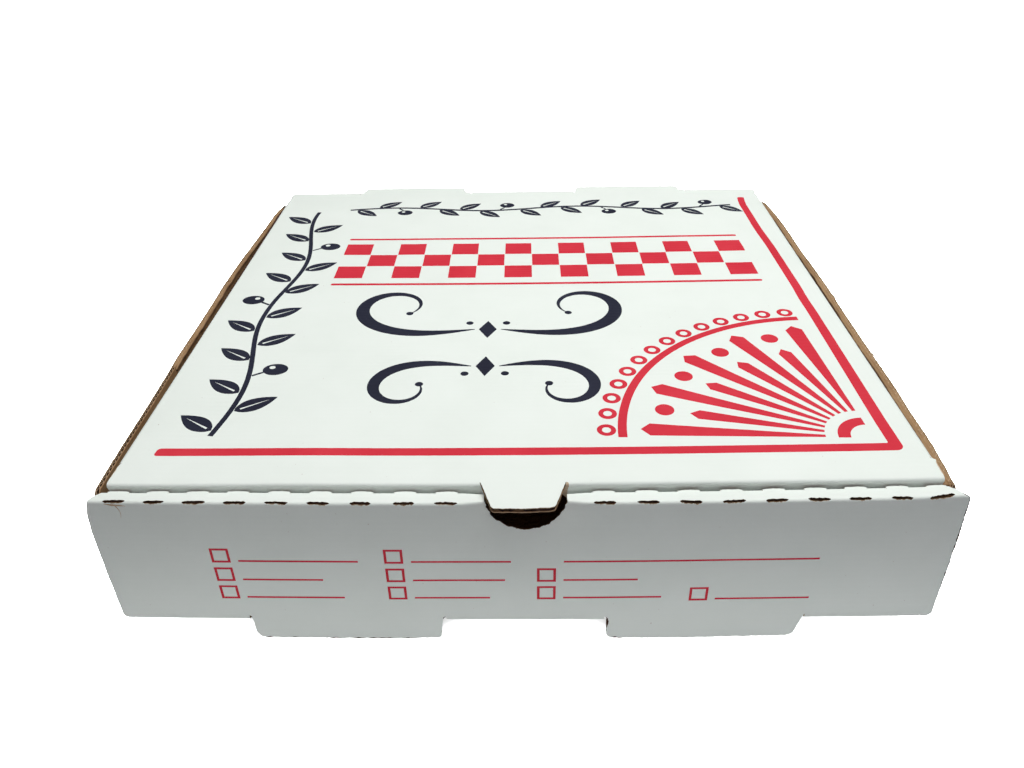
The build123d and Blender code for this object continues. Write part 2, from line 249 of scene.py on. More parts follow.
class Skin:
    """Collects layers of board into one closed mesh."""

    def __init__(self, name):
        self.name, self.v, self.f, self.m, self.kind, self.flat, self.n = name, [], [], [], [], [], 0

    def raw(self, v, faces, mat, kind, flat=None):
        self.v.append(np.asarray(v, float))
        self.flat.append(np.zeros((len(v), 2)) if flat is None else np.asarray(flat, float))
        for f in faces:
            self.f.append([i + self.n for i in f])
        self.m.extend(mat if hasattr(mat, "__len__") else [mat] * len(faces))
        self.kind.extend([kind] * len(faces) if np.isscalar(kind) else list(kind))
        self.n += len(v)

    def layer(self, flat, w0, w1, outer, inner, rim):
        uv = flat.uv
        a, b = flat.place(uv, w0), flat.place(uv, w1)
        n = len(uv)
        faces = [t[::-1] for t in flat.tri.tolist()] + [[i + n for i in t] for t in flat.tri.tolist()]
        mats = [outer[k] for k in flat.ink] + [inner] * len(flat.tri)
        kinds = [0] * len(flat.tri) + [1] * len(flat.tri)
        faces += [[p, q, q + n, p + n] for p, q in flat.rim.tolist()]
        mats += [rim] * len(flat.rim)
        kinds += [2] * len(flat.rim)
        self.raw(np.concatenate([a, b]), faces, mats, kinds, np.concatenate([uv, uv]))

    def build(self, mats):
        v, flat = np.concatenate(self.v), np.concatenate(self.flat)
        _, first, inv = np.unique(np.round(v * 2000).astype(np.int64), axis=0, return_index=True, return_inverse=True)
        inv = inv.reshape(-1)
        v, flat = v[first], flat[first]
        faces, keep = [], []
        for k, f in enumerate(self.f):
            g = []
            for i in f:
                j = int(inv[i])
                if not g or g[-1] != j:
                    g.append(j)
            if len(g) > 1 and g[0] == g[-1]:
                g.pop()
            if len(g) >= 3 and len(set(g)) == len(g):
                faces.append(g)
                keep.append(k)
        pos = (v + np.array([0.0, -Y_MID, FOOT_H])) / 1000.0
        me = bpy.data.meshes.new(self.name)
        me.from_pydata([tuple(p) for p in pos], [], faces)
        me.update()
        for m in mats:
            me.materials.append(m)
        me.polygons.foreach_set("material_index", [self.m[k] for k in keep])
        me.polygons.foreach_set("use_smooth", [True] * len(faces))
        at = me.attributes.new("flat", "FLOAT_VECTOR", "POINT")
        at.data.foreach_set("vector", np.concatenate([flat, np.zeros((len(flat), 1))], 1).ravel().astype(np.float32))
        kind = [self.kind[k] for k in keep]
        bm = bmesh.new()
        bm.from_mesh(me)
        bm.faces.ensure_lookup_table()
        for e in bm.edges:
            lf = e.link_faces
            if len(lf) != 2:
                e.smooth = False
                continue
            k0, k1 = kind[lf[0].index], kind[lf[1].index]
            if k0 != k1 or (k0 == 2 and e.calc_face_angle(0.0) > 0.6):
                e.smooth = False
        bm.to_mesh(me)
        bm.free()
        me.validate(clean_customdata=False)
        ob = bpy.data.objects.new(self.name, me)
        bpy.context.scene.collection.objects.link(ob)
        return ob


# ------------------------------------------------------------------ the sheet isn't quite flat
BULGE_Y0 = (5.0, 20.0, 43.0, 61.0, 74.0, 84.0, 120.0, 145.0, 160.0, 177.0, 197.0, 213.0, 229.0, 245.0)
BULGE_LEFT = (0.0, 0.35, 0.7, 1.0, 1.3, 1.85, 1.75, 2.35, 2.25, 1.85, 1.15, 0.6, 0.5, 0.0)
BULGE_Y1 = (5.5, 8.0, 10.0, 14.0, 20.0, 26.0, 46.0, 58.0, 72.0, 80.0, 96.0, 118.0, 145.0, 163.0, 178.0, 205.0, 232.0, 251.0)
BULGE_RIGHT = (-0.6, -1.0, -0.8, -0.4, -0.1, 0.35, 0.35, 0.8, 0.8, 0.65, 0.65, 0.85, 1.05, 0.75, 0.35, 0.4, 0.3, 0.0)
LID_Y = (8.0, 14.0, 17.0, 24.0, 36.0, 66.0, 96.0, 113.0, 125.0, 135.0, 179.0, 200.0, 215.0, 234.0, 250.0)
LID_RIGHT = (0.45, 0.35, 0.45, 0.45, 0.2, 0.05, -0.1, -0.2, -0.55, -0.3, -0.9, -1.9, -2.0, -2.2, -0.3)
LID_Y2 = (8.0, 20.0, 50.0, 100.0, 115.0, 130.0, 200.0, 225.0, 250.0)
LID_LEFT = (-0.7, -0.6, -0.9, -1.1, -0.95, -1.3, -1.35, -1.7, -0.2)


def warp_tray(p):
    x, y, z = p[:, 0], p[:, 1], p[:, 2]
    q = p.copy()
    across = np.clip(1 - (x / 133.0) ** 2, 0, 1)
    q[:, 1] -= 0.7 * smooth((-x - 88.0) / 36.0) * smooth((y - 1.7) / 3.5) * smooth((14.0 - y) / 8.0) * smooth((z - 8.0) / 36.0)
    q[:, 1] -= 1.7 * across * smooth(1 - (y - 6.0) / 40.0)
    q[:, 2] -= 0.35 * across * smooth(1 - (y - 6.0) / 30.0) * smooth(z / 40.0)
    # the front corners sag a little below, and the right one stands up a little above
    q[:, 2] -= np.where(x < 0, 0.35, 0.6) * smooth((np.abs(x) - 92.0) / 34.0) * smooth(1 - y / 25.0) * smooth((26.0 - z) / 20.0)
    q[:, 2] += 0.45 * smooth((x - 112.0) / 20.0) * smooth((z - 30.0) / 18.0) * smooth(1 - (y - 2.0) / 4.5)
    # the wall is pressed in a little on both sides of the thumb notch
    thumb = smooth(1 - (np.abs(x - 0.7) - 12.0) / 8.0)
    q[:, 1] += 1.5 * thumb * np.clip(1 - y / 4.5, 0, 1) * smooth((z - 37.0) / 12.0)
    q[:, 2] -= 0.5 * thumb * smooth((z - 40.0) / 8.0) * smooth(1 - (y - 6.0) / 4.0)
    # the side walls lean and bulge a little along their length
    out =smooth((np.abs(x) - 120.0) / 8.0) * smooth(z / 52.0)
    q[:, 0] -= np.where(x < 0, 1.0, 0.0) * out * np.interp(y, BULGE_Y0, BULGE_LEFT)
    q[:, 0] += np.where(x > 0, 1.0, 0.0) * out * np.interp(y, BULGE_Y1, BULGE_RIGHT)
    q[:, 1] += 0.10 * noise2(x / 21.0, z / 17.0, 5) * smooth(1 - y / 8.0) * smooth((z + 8) / 8.0)
    q[:, 0] += 0.12 * noise2(y / 23.0, z / 15.0, 9) * smooth((np.abs(x) - 124.0) / 6.0) * smooth(z / 20.0) * smooth((y - 6) / 20.0) * smooth((246 - y) / 20.0)
    return q


def warp_lid(p):
    x, y, z = p[:, 0], p[:, 1], p[:, 2]
    q = p.copy()
    across = np.clip(1 - (x / 127.0) ** 2, 0, 1)
    back = smooth((250.0 - y) / 60.0)
    front = smooth(1 - (y - 6.0) / 60.0)
    q[:, 1] -= 0.3 * across * front + 1.0 * smooth((-x - 60.0) / 66.0) * front + 0.3 * smooth((x - 60.0) / 66.0) * front
    q[:, 2] -= (0.55 + 0.35 * np.sin(np.pi * np.clip(y / 250.0, 0, 1)) + 0.55 * smooth(1 - (y - 10.0) / 70.0)) * across * back
    q[:, 2] += 0.12 * noise2(x / 37.0, y / 31.0, 3) * across * back * smooth((z - 40) / 6.0)
    # the front fold bows out and stands up after the front wall it is tucked behind
    near = across * smooth(1 - (y - 8.0) / 40.0)
    q[:, 1] -= 1.5 * near
    q[:, 2] += 1.1 * near
    edge = smooth((np.abs(x) - 40.0) / 87.0)
    q[:, 0] += edge * np.where(x < 0, np.interp(y, LID_Y2, LID_LEFT), np.interp(y, LID_Y, LID_RIGHT))
    return q


def warp_none(p):
    return p


# ------------------------------------------------------------------ folds
Z0 = 2.0
S1 = H - RR - Z0
S2 = S1 + RR * math.pi / 2
S3 = S2 + ROLL - 2 * RR
S4 = S3 + RR * math.pi / 2


def s_of(z):
    return S4 + H - RR - z


S5 = s_of(RO)


def crush_bottom(u, d):
    """Thickness left near the front bottom fold, d away from it; none lost in the feet."""
    foot = ((u > FEET[1][0]) & (u < FEET[1][1])) | ((-u > FEET[-1][0]) & (-u < FEET[-1][1]))
    return np.where(foot, 1.0, 1 - (1 - KB) * smooth(1 - d / 2.5))


def crush_notch(u, s):
    """Thickness left beside the thumb notch in the outer wall, where the die has pinched the board."""
    far = np.hypot((u - 0.7) / 12.5, np.maximum(s - S3 + 1.4, 0) / 12.45) * 11.0 - 11.0
    return 1 - 0.74 * smooth(1 - far / 2.4) * smooth((s - S3 - 0.4) / 1.8)


def fold_roll(u, s, w):
    """Inner front wall, roll fold, top strip, roll fold, outer front wall."""
    kf = (RR - 0.15) / T
    k = 1 - (1 - kf) * smooth((s - S1 + 1.8) / 1.8) * smooth((S4 + 1.8 - s) / 1.8)
    w = w * k * np.where(s > S4 + 4, crush_bottom(u, H - RR - (s - S4) - RB), 1.0) * crush_notch(u, s)
    y, z = np.zeros_like(s), np.zeros_like(s)
    m = s <= S1
    y[m], z[m] = ROLL - w[m], Z0 + s[m]
    m = (s > S1) & (s <= S2)
    f = (s[m] - S1) / RR
    y[m], z[m] = ROLL - RR + (RR - w[m]) * np.cos(f), H - RR + (RR - w[m]) * np.sin(f)
    m = (s > S2) & (s <= S3)
    y[m], z[m] = ROLL - RR - (s[m] - S2), H - w[m]
    m = (s > S3) & (s <= S4)
    f = (s[m] - S3) / RR
    y[m], z[m] = RR - (RR - w[m]) * np.sin(f), H - RR + (RR - w[m]) * np.cos(f)
    m = s > S4
    y[m], z[m] = w[m], H - RR - (s[m] - S4)
    return np.stack([u, y, z], 1)


def fold_tooth(u, s, w):
    return np.stack([u, ROLL - RR - s, H - w], 1)


SA = RO - RB                               # front bottom fold starts
SB0 = SA + RB * math.pi / 2                # bottom panel, along the strip
SB1 = SB0 + D - RO - RB
SW = SB1 + A90                             # rear wall starts


def s_y(y):
    return SB0 + y - RB


SF, SR = s_y(YF0), s_y(YF1)


def u_z(z):
    return A90 + z - RO


def fold_base(u, s, w):
    """Bottom, rear wall, side walls and corner flaps."""
    au, sg = np.abs(u), np.where(u < 0, -1.0, 1.0)
    up = au - XF
    x, y, z = u.copy(), np.zeros_like(u), np.zeros_like(u)
    wing = (up > 1e-6) & (s >= SF - 1e-6) & (s <= SR + 1e-6) & ~((up < 1.6) & (s > SB1))
    ff = (up > 1.7) & (s < SF - 1e-6)
    rf = (up > 1.7) & (s > SR + 1e-6)
    main = ~(wing | ff | rf)
    w = np.where(main & (s < SB0 + 4), w * crush_bottom(u, np.maximum(SA - s, s - SB0).clip(0)), w)
    m = main & (s <= SA)
    y[m], z[m] = w[m], RO - s[m]
    m = main & (s > SA) & (s <= SB0)
    f = (s[m] - SA) / RB
    y[m], z[m] = RB - (RB - w[m]) * np.cos(f), RB - (RB - w[m]) * np.sin(f)
    m = main & (s > SB0) & (s <= SB1)
    y[m], z[m] = RB + s[m] - SB0, w[m]
    m = main & (s > SB1) & (s <= SW)
    f = (s[m] - SB1) / RO
    y[m], z[m] = D - RO + (RO - w[m]) * np.sin(f), RO - (RO - w[m]) * np.cos(f)
    m = main & (s > SW)
    y[m], z[m] = D - w[m], RO + s[m] - SW
    m = wing
    f = np.minimum(up[m], A90) / RO
    lift = np.maximum(up[m] - A90, 0)
    x[m] = sg[m] * (XF + (RO - w[m]) * np.sin(f))
    z[m] = RO - (RO - w[m]) * np.cos(f) + lift
    y[m] = RB + s[m] - SB0
    for m, q, y0, d in ((ff, SF - s, YF0, -1.0), (rf, s - SR, YF1, 1.0)):
        q = q[m]
        f = np.minimum(q, A90) / RO
        run = np.maximum(q - A90, 0)
        x[m] = sg[m] * (XF + (RO - w[m]) * np.cos(f) - run)
        y[m] = y0 + d * (RO - w[m]) * np.sin(f)
        z[m] = RO + up[m] - A90
    return np.stack([x, y, z], 1)


def fold_crease(u, s, w):
    y, z = np.zeros_like(s), np.zeros_like(s)
    m = s <= CREASE
    y[m], z[m] = D - w[m], ZSEAM + s[m]
    m = (s > CREASE) & (s <= CREASE + A90)
    f = (s[m] - CREASE) / RO
    y[m], z[m] = D - RO + (RO - w[m]) * np.cos(f), ZL - RO + (RO - w[m]) * np.sin(f)
    m = s > CREASE + A90
    y[m], z[m] = D - RO - (s[m] - CREASE - A90), ZL - w[m]
    return np.stack([u, y, z], 1)


def fold_lid(u, s, w):
    """Lid panel with tongue, lugs and side flaps; s runs to the front."""
    y = -s
    au, sg = np.abs(u), np.where(u < 0, -1.0, 1.0)
    up = au - XL
    far = np.where(up < 0, -up, np.maximum(up - AS, 0))
    along = smooth(y - 16.0) * smooth(250.6 - y)
    w = w * (1 - (1 - KS) * smooth(1 - far / 2.5) * along)
    w = w * np.where(y > YL - 0.01, 1 - (1 - KT) * off_tongue(u) * smooth((YL + 2.5 - y) / 2.5), 1.0)
    x, z = u.copy(), ZL - w
    m = (up > 0) & (y > 16.8) & (y < 249.75)
    f = np.minimum(up[m], AS) / RS
    drop = np.maximum(up[m] - AS, 0)
    x[m] = sg[m] * (XL + (RS - w[m]) * np.sin(f))
    z[m] = ZL - RS + (RS - w[m]) * np.cos(f) - drop
    return np.stack([x, y, z], 1)


def off_tongue(u):
    return smooth((np.abs(u) - 12.9) / 0.29)


LEAN = math.radians(95.0)
A95 = RT * LEAN


def fold_flap(u, s, w):
    w = w * (1 - (1 - KT) * smooth(1 - np.maximum(s - A95, 0) / 2.5))
    f = np.clip(s, 0, A95) / RT
    run = np.maximum(s - A95, 0)
    y = YL - (RT - w) * np.sin(f) - math.cos(LEAN) * run
    z = ZL - RT + (RT - w) * np.cos(f) - math.sin(LEAN) * run
    return np.stack([u, y, z], 1)


# ------------------------------------------------------------------ print: plain generic ornament
def disc(x, y, r, n=28, k=1.0, turn=0.0):
    c, s = math.cos(turn), math.sin(turn)
    return [(x + r * math.cos(t) * c - k * r * math.sin(t) * s, y + r * math.cos(t) * s + k * r * math.sin(t) * c)
            for t in (2 * math.pi * i / n for i in range(n))]


def stroke(pts, wid):
    """Closed outline of a pen stroke."""
    P, W = np.asarray(pts, float), np.asarray(wid, float)
    d = np.gradient(P, axis=0)
    d /= np.maximum(np.linalg.norm(d, axis=1, keepdims=True), 1e-9)
    nrm = np.stack([-d[:, 1], d[:, 0]], 1)
    a, b = P + nrm * W[:, None] / 2, P - nrm * W[:, None] / 2
    return [tuple(p) for p in a] + [tuple(p) for p in b[::-1]]


def euler(x, y, head, length, k0, k1, n=60):
    """A curl whose curvature changes steadily."""
    t = np.linspace(0, 1, n)
    th = head + length * (k0 * t + (k1 - k0) * t * t / 2)
    d = length / (n - 1)
    px = x + np.concatenate([[0], np.cumsum(np.cos((th[1:] + th[:-1]) / 2) * d)])
    py = y + np.concatenate([[0], np.cumsum(np.sin((th[1:] + th[:-1]) / 2) * d)])
    return np.stack([px, py], 1)


def leaf(x, y, head, length, width, vein=True):
    t = np.linspace(0, 1, 15)
    half = width / 2 * np.sin(np.pi * t ** 0.8) ** 0.9
    c, s = math.cos(head), math.sin(head)

    def put(a, b):
        return (x + a * c - b * s, y + a * s + b * c)

    up = [put(length * a, h) for a, h in zip(t, half)]
    dn = [put(length * a, -h) for a, h in zip(t[1:-1][::-1], half[1:-1][::-1])]
    out = [up + dn]
    if vein:
        v = np.linspace(0.14, 0.8, 7)
        vw = 0.42 * (1 - (v - 0.14) / 0.72)
        out.append([put(length * a, h) for a, h in zip(v, vw)] + [put(length * a, -h) for a, h in zip(v[::-1], vw[::-1])])
    return out


RED, NAVY, TORN, SPECK = 1, 2, 4, 5
INK_LID = []       # (ink, loops) in lid x, y
INK_LID.append((RED, [rounded([(-117.4, 20.6, 1.0), (119.9, 20.6, 2.6), (119.5, 243.2, 1.2), (115.9, 243.2, 1.2), (115.9, 24.5, 0.6), (-117.0, 24.5, 1.3)])]))
CELL = 12.6
for _i in range(15):
    for _j in range(3):
        if (_i + _j) % 2 == 0:
            _x, _y = -84.0 + _i * CELL, 149.0 + _j * CELL
            _g = 0.12
            INK_LID.append((RED, [[(_x + _g, _y + _g), (_x + CELL - _g, _y + _g), (_x + CELL - _g, _y + CELL - _g), (_x + _g, _y + CELL - _g)]]))
for _y in (142.0, 191.6):
    INK_LID.append((RED, [rounded([(-84.0, _y, 0.9), (105.0, _y, 0.9), (105.0, _y + 1.9, 0.9), (-84.0, _y + 1.9, 0.9)], 4)]))
# two scrolled dividers in the middle
for _cy, _len, _w, _up in ((102.0, 104.0, 5.4, 1), (74.0, 74.0, 4.4, -1)):
    _P = euler(5.2, 0.0, -0.20, _len, -0.002, 0.115 if _up > 0 else 0.150, 90)
    _t = np.linspace(0, 1, len(_P))
    _W = 0.5 + _w * np.sin(np.pi * _t ** 0.8) ** 1.2
    _tip = disc(_P[-1, 0], _P[-1, 1], 1.5, 20)
    for _sg in (-1, 1):
        INK_LID.append((NAVY, [[(-14.0 + _sg * x, _cy + _up * y) for x, y in stroke(_P, _W)]]))
        INK_LID.append((NAVY, [[(-14.0 + _sg * x, _cy + _up * y) for x, y in _tip]]))
        INK_LID.append((NAVY, [disc(-14.0 + _sg * 7.4, _cy + _up * 5.2, 1.5, 20)]))
    INK_LID.append((NAVY, [rounded([(-14.0, _cy + 7.0), (-10.4, _cy), (-14.0, _cy - 7.0), (-17.6, _cy)])]))
# leaf border, left side and back
_ys = np.linspace(31.0, 228.0, 99)
_xs = -102.5 + 3.4 * np.sin((_ys - 31.0) / 17.0)
INK_LID.append((NAVY, [stroke(np.stack([_xs, _ys], 1), np.full(99, 1.9))]))
for _i, _y in enumerate(np.arange(34.0, 220.0, 11.2)):
    _side = 1 if _i % 2 else -1
    _x = -102.5 + 3.4 * math.sin((_y - 31.0) / 17.0)
    if _i % 5 == 3:
        INK_LID.append((NAVY, [stroke([(_x + _side * 1.1, _y), (_x + _side * 4.6, _y + 2.4)], [1.1, 1.1])]))
        INK_LID.append((NAVY, [disc(_x + _side * 8.6, _y + 4.4, 4.6, k=0.86), disc(_x + _side * 7.2, _y + 5.8, 1.1, 14)]))
    else:
        INK_LID.append((NAVY, leaf(_x + _side * 1.2, _y, math.radians(90 - _side * 56), 15.6, 7.4)))
_xs = np.linspace(-90.0, 111.0, 101)
_ys = 230.6 + 2.4 * np.sin((_xs + 90.0) / 15.0)
INK_LID.append((NAVY, [stroke(np.stack([_xs, _ys], 1), np.full(101, 1.7))]))
for _i, _x in enumerate(np.arange(-86.0, 106.0, 10.6)):
    _side = 1 if _i % 2 else -1
    _y = 230.6 + 2.4 * math.sin((_x + 90.0) / 15.0)
    if _i % 5 == 2:
        INK_LID.append((NAVY, [stroke([(_x, _y + _side * 1.0), (_x + 2.2, _y + _side * 3.4)], [1.0, 1.0])]))
        INK_LID.append((NAVY, [disc(_x + 3.6, _y + _side * 6.6, 3.8, k=0.86), disc(_x + 2.6, _y + _side * 6.6 + 1.1, 0.9, 14)]))
    else:
        INK_LID.append((NAVY, leaf(_x, _y + _side * 1.1, math.radians(_side * 36), 13.4, 6.4)))
# rayed corner
_cx, _cy = 112.5, 27.5
for _i in range(9):
    _a = math.radians(95.0 + 10.0 * _i)
    _long = 74.0 if _i % 2 == 0 else 58.0
    _h = math.radians(2.7)
    _L = []
    for _r, _s in ((15.0, 0.9), (_long - 3.0, 1.0), (_long, 0.0), (_long - 3.0, -1.0), (15.0, -0.9)):
        _L.append((_cx + _r * math.cos(_a + _s * _h), _cy + _r * math.sin(_a + _s * _h)))
    INK_LID.append((RED, [_L]))
    if _i % 2:
        INK_LID.append((RED, [disc(_cx + 66.5 * math.cos(_a), _cy + 66.5 * math.sin(_a), 3.3)]))
for _r0, _r1 in ((7.0, 11.0), (78.5, 81.5)):
    _t = np.linspace(math.radians(91.5), math.radians(178.5), 60)
    INK_LID.append((RED, [[(_cx + _r1 * math.cos(t), _cy + _r1 * math.sin(t)) for t in _t] + [(_cx + _r0 * math.cos(t), _cy + _r0 * math.sin(t)) for t in _t[::-1]]]))
for _i in range(14):
    _a = math.radians(94.0 + 6.3 * _i)
    _x, _y = _cx + 85.2 * math.cos(_a), _cy + 85.2 * math.sin(_a)
    INK_LID.append((RED, [disc(_x, _y, 3.2, 24), disc(_x, _y, 1.5, 16)]))

INK_FRONT = []     # (ink, loops) in front wall x, z


def check_box(x0, z0, a=6.0, t=0.85):
    return [[(x0, z0), (x0 + a, z0), (x0 + a, z0 + a), (x0, z0 + a)], [(x0 + t, z0 + t), (x0 + a - t, z0 + t), (x0 + a - t, z0 + a - t), (x0 + t, z0 + a - t)]]


def rule(x0, x1, z, t=0.75):
    return [[(x0, z), (x1, z), (x1, z + t), (x0, z + t)]]


for _x0, _ends in ((-98.2, (-52.0, -64.0, -58.0)), (-43.7, (-4.0, -6.0, -11.0)), (4.1, (None, 36.0, 44.0))):
    for _z0, _e in zip((26.2, 18.1, 10.1), _ends):
        if _e is not None:
            INK_FRONT.append((RED, check_box(_x0, _z0)))
            INK_FRONT.append((RED, rule(_x0 + 8.4, _e, _z0 + 0.4)))
INK_FRONT.append((RED, check_box(52.9, 9.0)))
INK_FRONT.append((RED, rule(61.3, 91.5, 9.4)))
INK_FRONT.append((RED, rule(12.5, 92.0, 26.6)))


# ------------------------------------------------------------------ the blank's regions
def grid(u0, u1, s0, s1, du, ds):
    return [(float(u), float(s)) for u in np.arange(u0, u1 + 1e-6, du) for s in np.arange(s0, s1 + 1e-6, ds)]


def notch_loop(grow=0.0):
    a, b = 12.5 + grow, 12.45 + grow
    f0, r0 = S3 - 1.4, (S1 + S2) / 2
    t = np.linspace(0, math.pi, 41)
    pts = [(0.7 + a * math.cos(x), f0 + b * math.sin(x)) for x in t]
    pts += [(0.7 - (a + 1.2 * math.sin(x)) * math.cos(x), r0 - (b + 6.6) * math.sin(x)) for x in t]
    return refine(pts, 1.2, ((-20, 20, -10, S1 - 1, 0.9, 0.12, 31), (-20, 20, S4 - 1, 200, 0.4, 0.40 + grow * 0.4, 32)))


def slit_edges(i, x, low, high, seed):
    """Upper and lower edge of one slit of the perforation."""
    last = i == len(SLITS) - 1
    wdt = (7.9 if last else 6.65) + 0.5 * float(noise1(i * 3.7, 40))
    n = 21
    mid = (S3 + S4) / 2 - 0.25 + 0.12 * float(noise1(i * 5.3, 42))
    tilt = 0.06 * float(noise1(i * 1.9, 41)) + (-0.11 if last else 0.0)
    lo, hi = [], []
    for k in range(n):
        t = k / (n - 1)
        u = x - wdt / 2 + wdt * t
        e = min(1.0, 7.0 * t + 0.25, 7.0 * (1 - t) + 0.25) * (1.2 if last else 1.0)
        c = mid + tilt * (t - 0.5) * 6
        lo.append((u, c - (high + 0.24 * float(rough(u / 0.8, seed + i))) * e))
        hi.append((u, c + (low + 0.30 * float(rough(u / 0.7, seed + 50 + i))) * e))
    return lo, hi


def slit_loop(i, x, low, high, seed):
    lo, hi = slit_edges(i, x, low, high, seed)
    return lo + hi[::-1]


def slit_fringe(i, x, low, high, seed):
    """Torn brown fibres along a slit's lower edge."""
    _, hi = slit_edges(i, x, low, high, seed)
    out = []
    for k, (u, s) in enumerate(hi):
        e = min(1.0, k / 3.0, (len(hi) - 1 - k) / 3.0)
        out.append((u, s + 0.01 + max(0.0, 0.13 + 0.22 * float(rough(u / 0.6, 700 + i))) * e))
    return [(u, s - 0.02) for u, s in hi] + out[::-1]


def tooth_hole(x):
    return [(x - 3.2, S1 - 0.9), (x + 3.2, S1 - 0.9), (x + 3.15, S2), (x - 3.15, S2)]


RIGHT_END = [(128.1, S2 - 0.6), (128.9, S2 + 0.6), (130.1, S2 + 1.4), (131.3, S2 + 3.3), (132.7, S3 + 0.95), (133.1, S4 + 0.3), (133.25, s_of(44.0))]


def roll_outline():
    z = lambda h: s_of(h)
    right = [(133.15, z(0.72), 2.2), (133.4, z(20)), (133.5, z(33))]
    left = [(-131.8, z(49.2)), (-132.7, z(45.6)), (-133.35, z(38)), (-133.45, z(20)), (-133.15, z(0.72), 3.0)]
    feet = {}
    # underside of each foot is cut a little unevenly, with a small nick beside it
    (l0, l1), (r0, r1) = FEET[-1], FEET[1]
    feet[-1] = [(-l1, S5), (-90.6, z(1.75)), (-90.25, z(1.5)), (-89.9, z(0.7)), (-89.7, z(-8.15), 3.0), (-80.0, z(-8.4)), (-60.0, z(-8.5)),
                (-40.0, z(-8.45)), (-27.9, z(-8.0), 1.2), (-26.7, z(0.7)), (-26.3, z(1.5)), (-25.95, z(1.75)), (-l0, S5)]
    feet[1] = [(r0, S5), (26.4, z(1.75)), (26.75, z(1.5)), (27.0, z(0.7)), (27.2, z(-8.45), 2.0), (62.0, z(-8.5)), (66.0, z(-8.3)), (79.0, z(-8.2)),
               (87.2, z(-7.95), 0.6), (89.0, z(-6.9), 0.8), (90.9, z(0.7)), (91.15, z(1.5)), (91.4, z(1.75)), (r1, S5)]
    lock = lambda a, b: [(a - 3.0, 0), (a, -3.2, 1.0), (b, -3.2, 1.0), (b + 3.0, 0)]
    pts = [(-128.2, 0)] + lock(-85.4, -31.4) + lock(31.4, 85.4) + [(128.0, 0), (128.0, S1)] + RIGHT_END
    pts += right[::-1] + [(XF + 0.2, z(0.72)), (XF, z(1.1)), (XF, S5)]
    pts += feet[1][::-1] + feet[-1][::-1]
    pts += [(-XF, S5), (-XF, z(1.1)), (-XF - 0.2, z(0.72))] + left[::-1] + [(-131.4, S3 + 0.1), (-130.6, S2 + 2.1), (-129.8, S2 + 1.3), (-128.6, S2 - 0.2), (-128.2, S1)]
    loop = rounded(pts)
    zones = ((-92, 92, S5 + 8.0, 300, 0.55, 0.30, 11), (-92, 92, S5 + 1.2, 300, 0.8, 0.14, 12), (129, 134, S2 - 1, 300, 0.8, 0.16, 13), (-134, -129.5, S2, 300, 1.0, 0.12, 14))
    return refine(loop, 4.0, zones)


def worn_line(path, wid, seed):
    """Ragged band along a raw edge, where the white liner is rubbed off."""
    P = []
    for (a, b), (c, d) in zip(path[:-1], path[1:]):
        n = max(1, math.ceil(math.hypot(c - a, d - b) / 0.5))
        P += [(a + (c - a) * k / n, b + (d - b) * k / n) for k in range(n)]
    P = np.array(P + [path[-1]])
    t = np.gradient(P, axis=0)
    t /= np.maximum(np.linalg.norm(t, axis=1, keepdims=True), 1e-9)
    nrm = np.stack([-t[:, 1], t[:, 0]], 1)
    arc = np.concatenate([[0], np.cumsum(np.linalg.norm(np.diff(P, axis=0), axis=1))])
    ends = np.clip(np.minimum(arc, arc[-1] - arc) / 1.5, 0.1, 1)
    inn = P + nrm * (wid * ends * np.clip(0.75 + 0.75 * rough(arc / 1.3, seed), 0.08, 2))[:, None]
    out = P - nrm * 0.6
    return [tuple(map(float, p)) for p in inn] + [tuple(map(float, p)) for p in out[::-1]]


def seam_roll(u, s):
    return np.abs(s - S5) < 1e-4


ROLL_LOOP = roll_outline()
ROLL_LINES = []
for _s0, _s1 in ((S1, S2), (S3, S4)):
    for _k in range(9):
        _s = _s0 + (_s1 - _s0) * _k / 8
        ROLL_LINES.append(((-140, _s), (140, _s)))
for _s in np.concatenate([np.arange(4, S1 - 2, 7.0), [S1 - 1.8, S1 - 0.9, S4 + 0.9, S4 + 1.8], np.arange(S4 + 6, S5 - 4, 6.0), [s_of(RB + 2.5), s_of(RB + 1.7), s_of(-2.5)]]):
    ROLL_LINES.append(((-140, float(_s)), (140, float(_s))))
ROLL_PTS = []
for (_a, _s), _ in ROLL_LINES:
    ROLL_PTS += [(float(u), _s) for u in np.arange(-126, 127, 6.0)]
ROLL_INK = [(k, [[(x, s_of(zz)) for x, zz in loop] for loop in shape]) for k, shape in INK_FRONT]
ROLL_INK += [(TORN, [slit_fringe(i, x, 0.48, 0.50, 100)]) for i, x in enumerate(SLITS)]
# dark specks along the torn underside of the left foot, and dark nicks where the feet are cut
ROLL_INK += [(SPECK, [worn_line(p, w, k)]) for k, (p, w) in enumerate((
    ([(-61.5, s_of(-8.5)), (-67.5, s_of(-8.46))], 0.62), ([(-75.5, s_of(-8.42)), (-79.0, s_of(-8.4))], 0.45), ([(-44.0, s_of(-8.46)), (-58.5, s_of(-8.5))], 0.42),
    ([(-84.0, s_of(-8.3)), (-87.0, s_of(-8.2))], 0.5), ([(-36.0, s_of(-8.3)), (-41.5, s_of(-8.45))], 0.36), ([(-69.5, s_of(-8.45)), (-73.0, s_of(-8.43))], 0.3),
    ([(-89.9, s_of(0.4)), (-90.3, s_of(1.4)), (-90.6, s_of(1.75)), (-91.2, s_of(2.2))], 0.5), ([(-25.8, s_of(1.9)), (-26.3, s_of(1.5)), (-26.7, s_of(0.3))], 0.7),
    ([(27.2, s_of(-3.4)), (27.0, s_of(0.7)), (26.75, s_of(1.5)), (26.2, s_of(1.9))], 0.5), ([(32.5, s_of(-8.46)), (28.6, s_of(-8.2))], 0.45)), 140)]
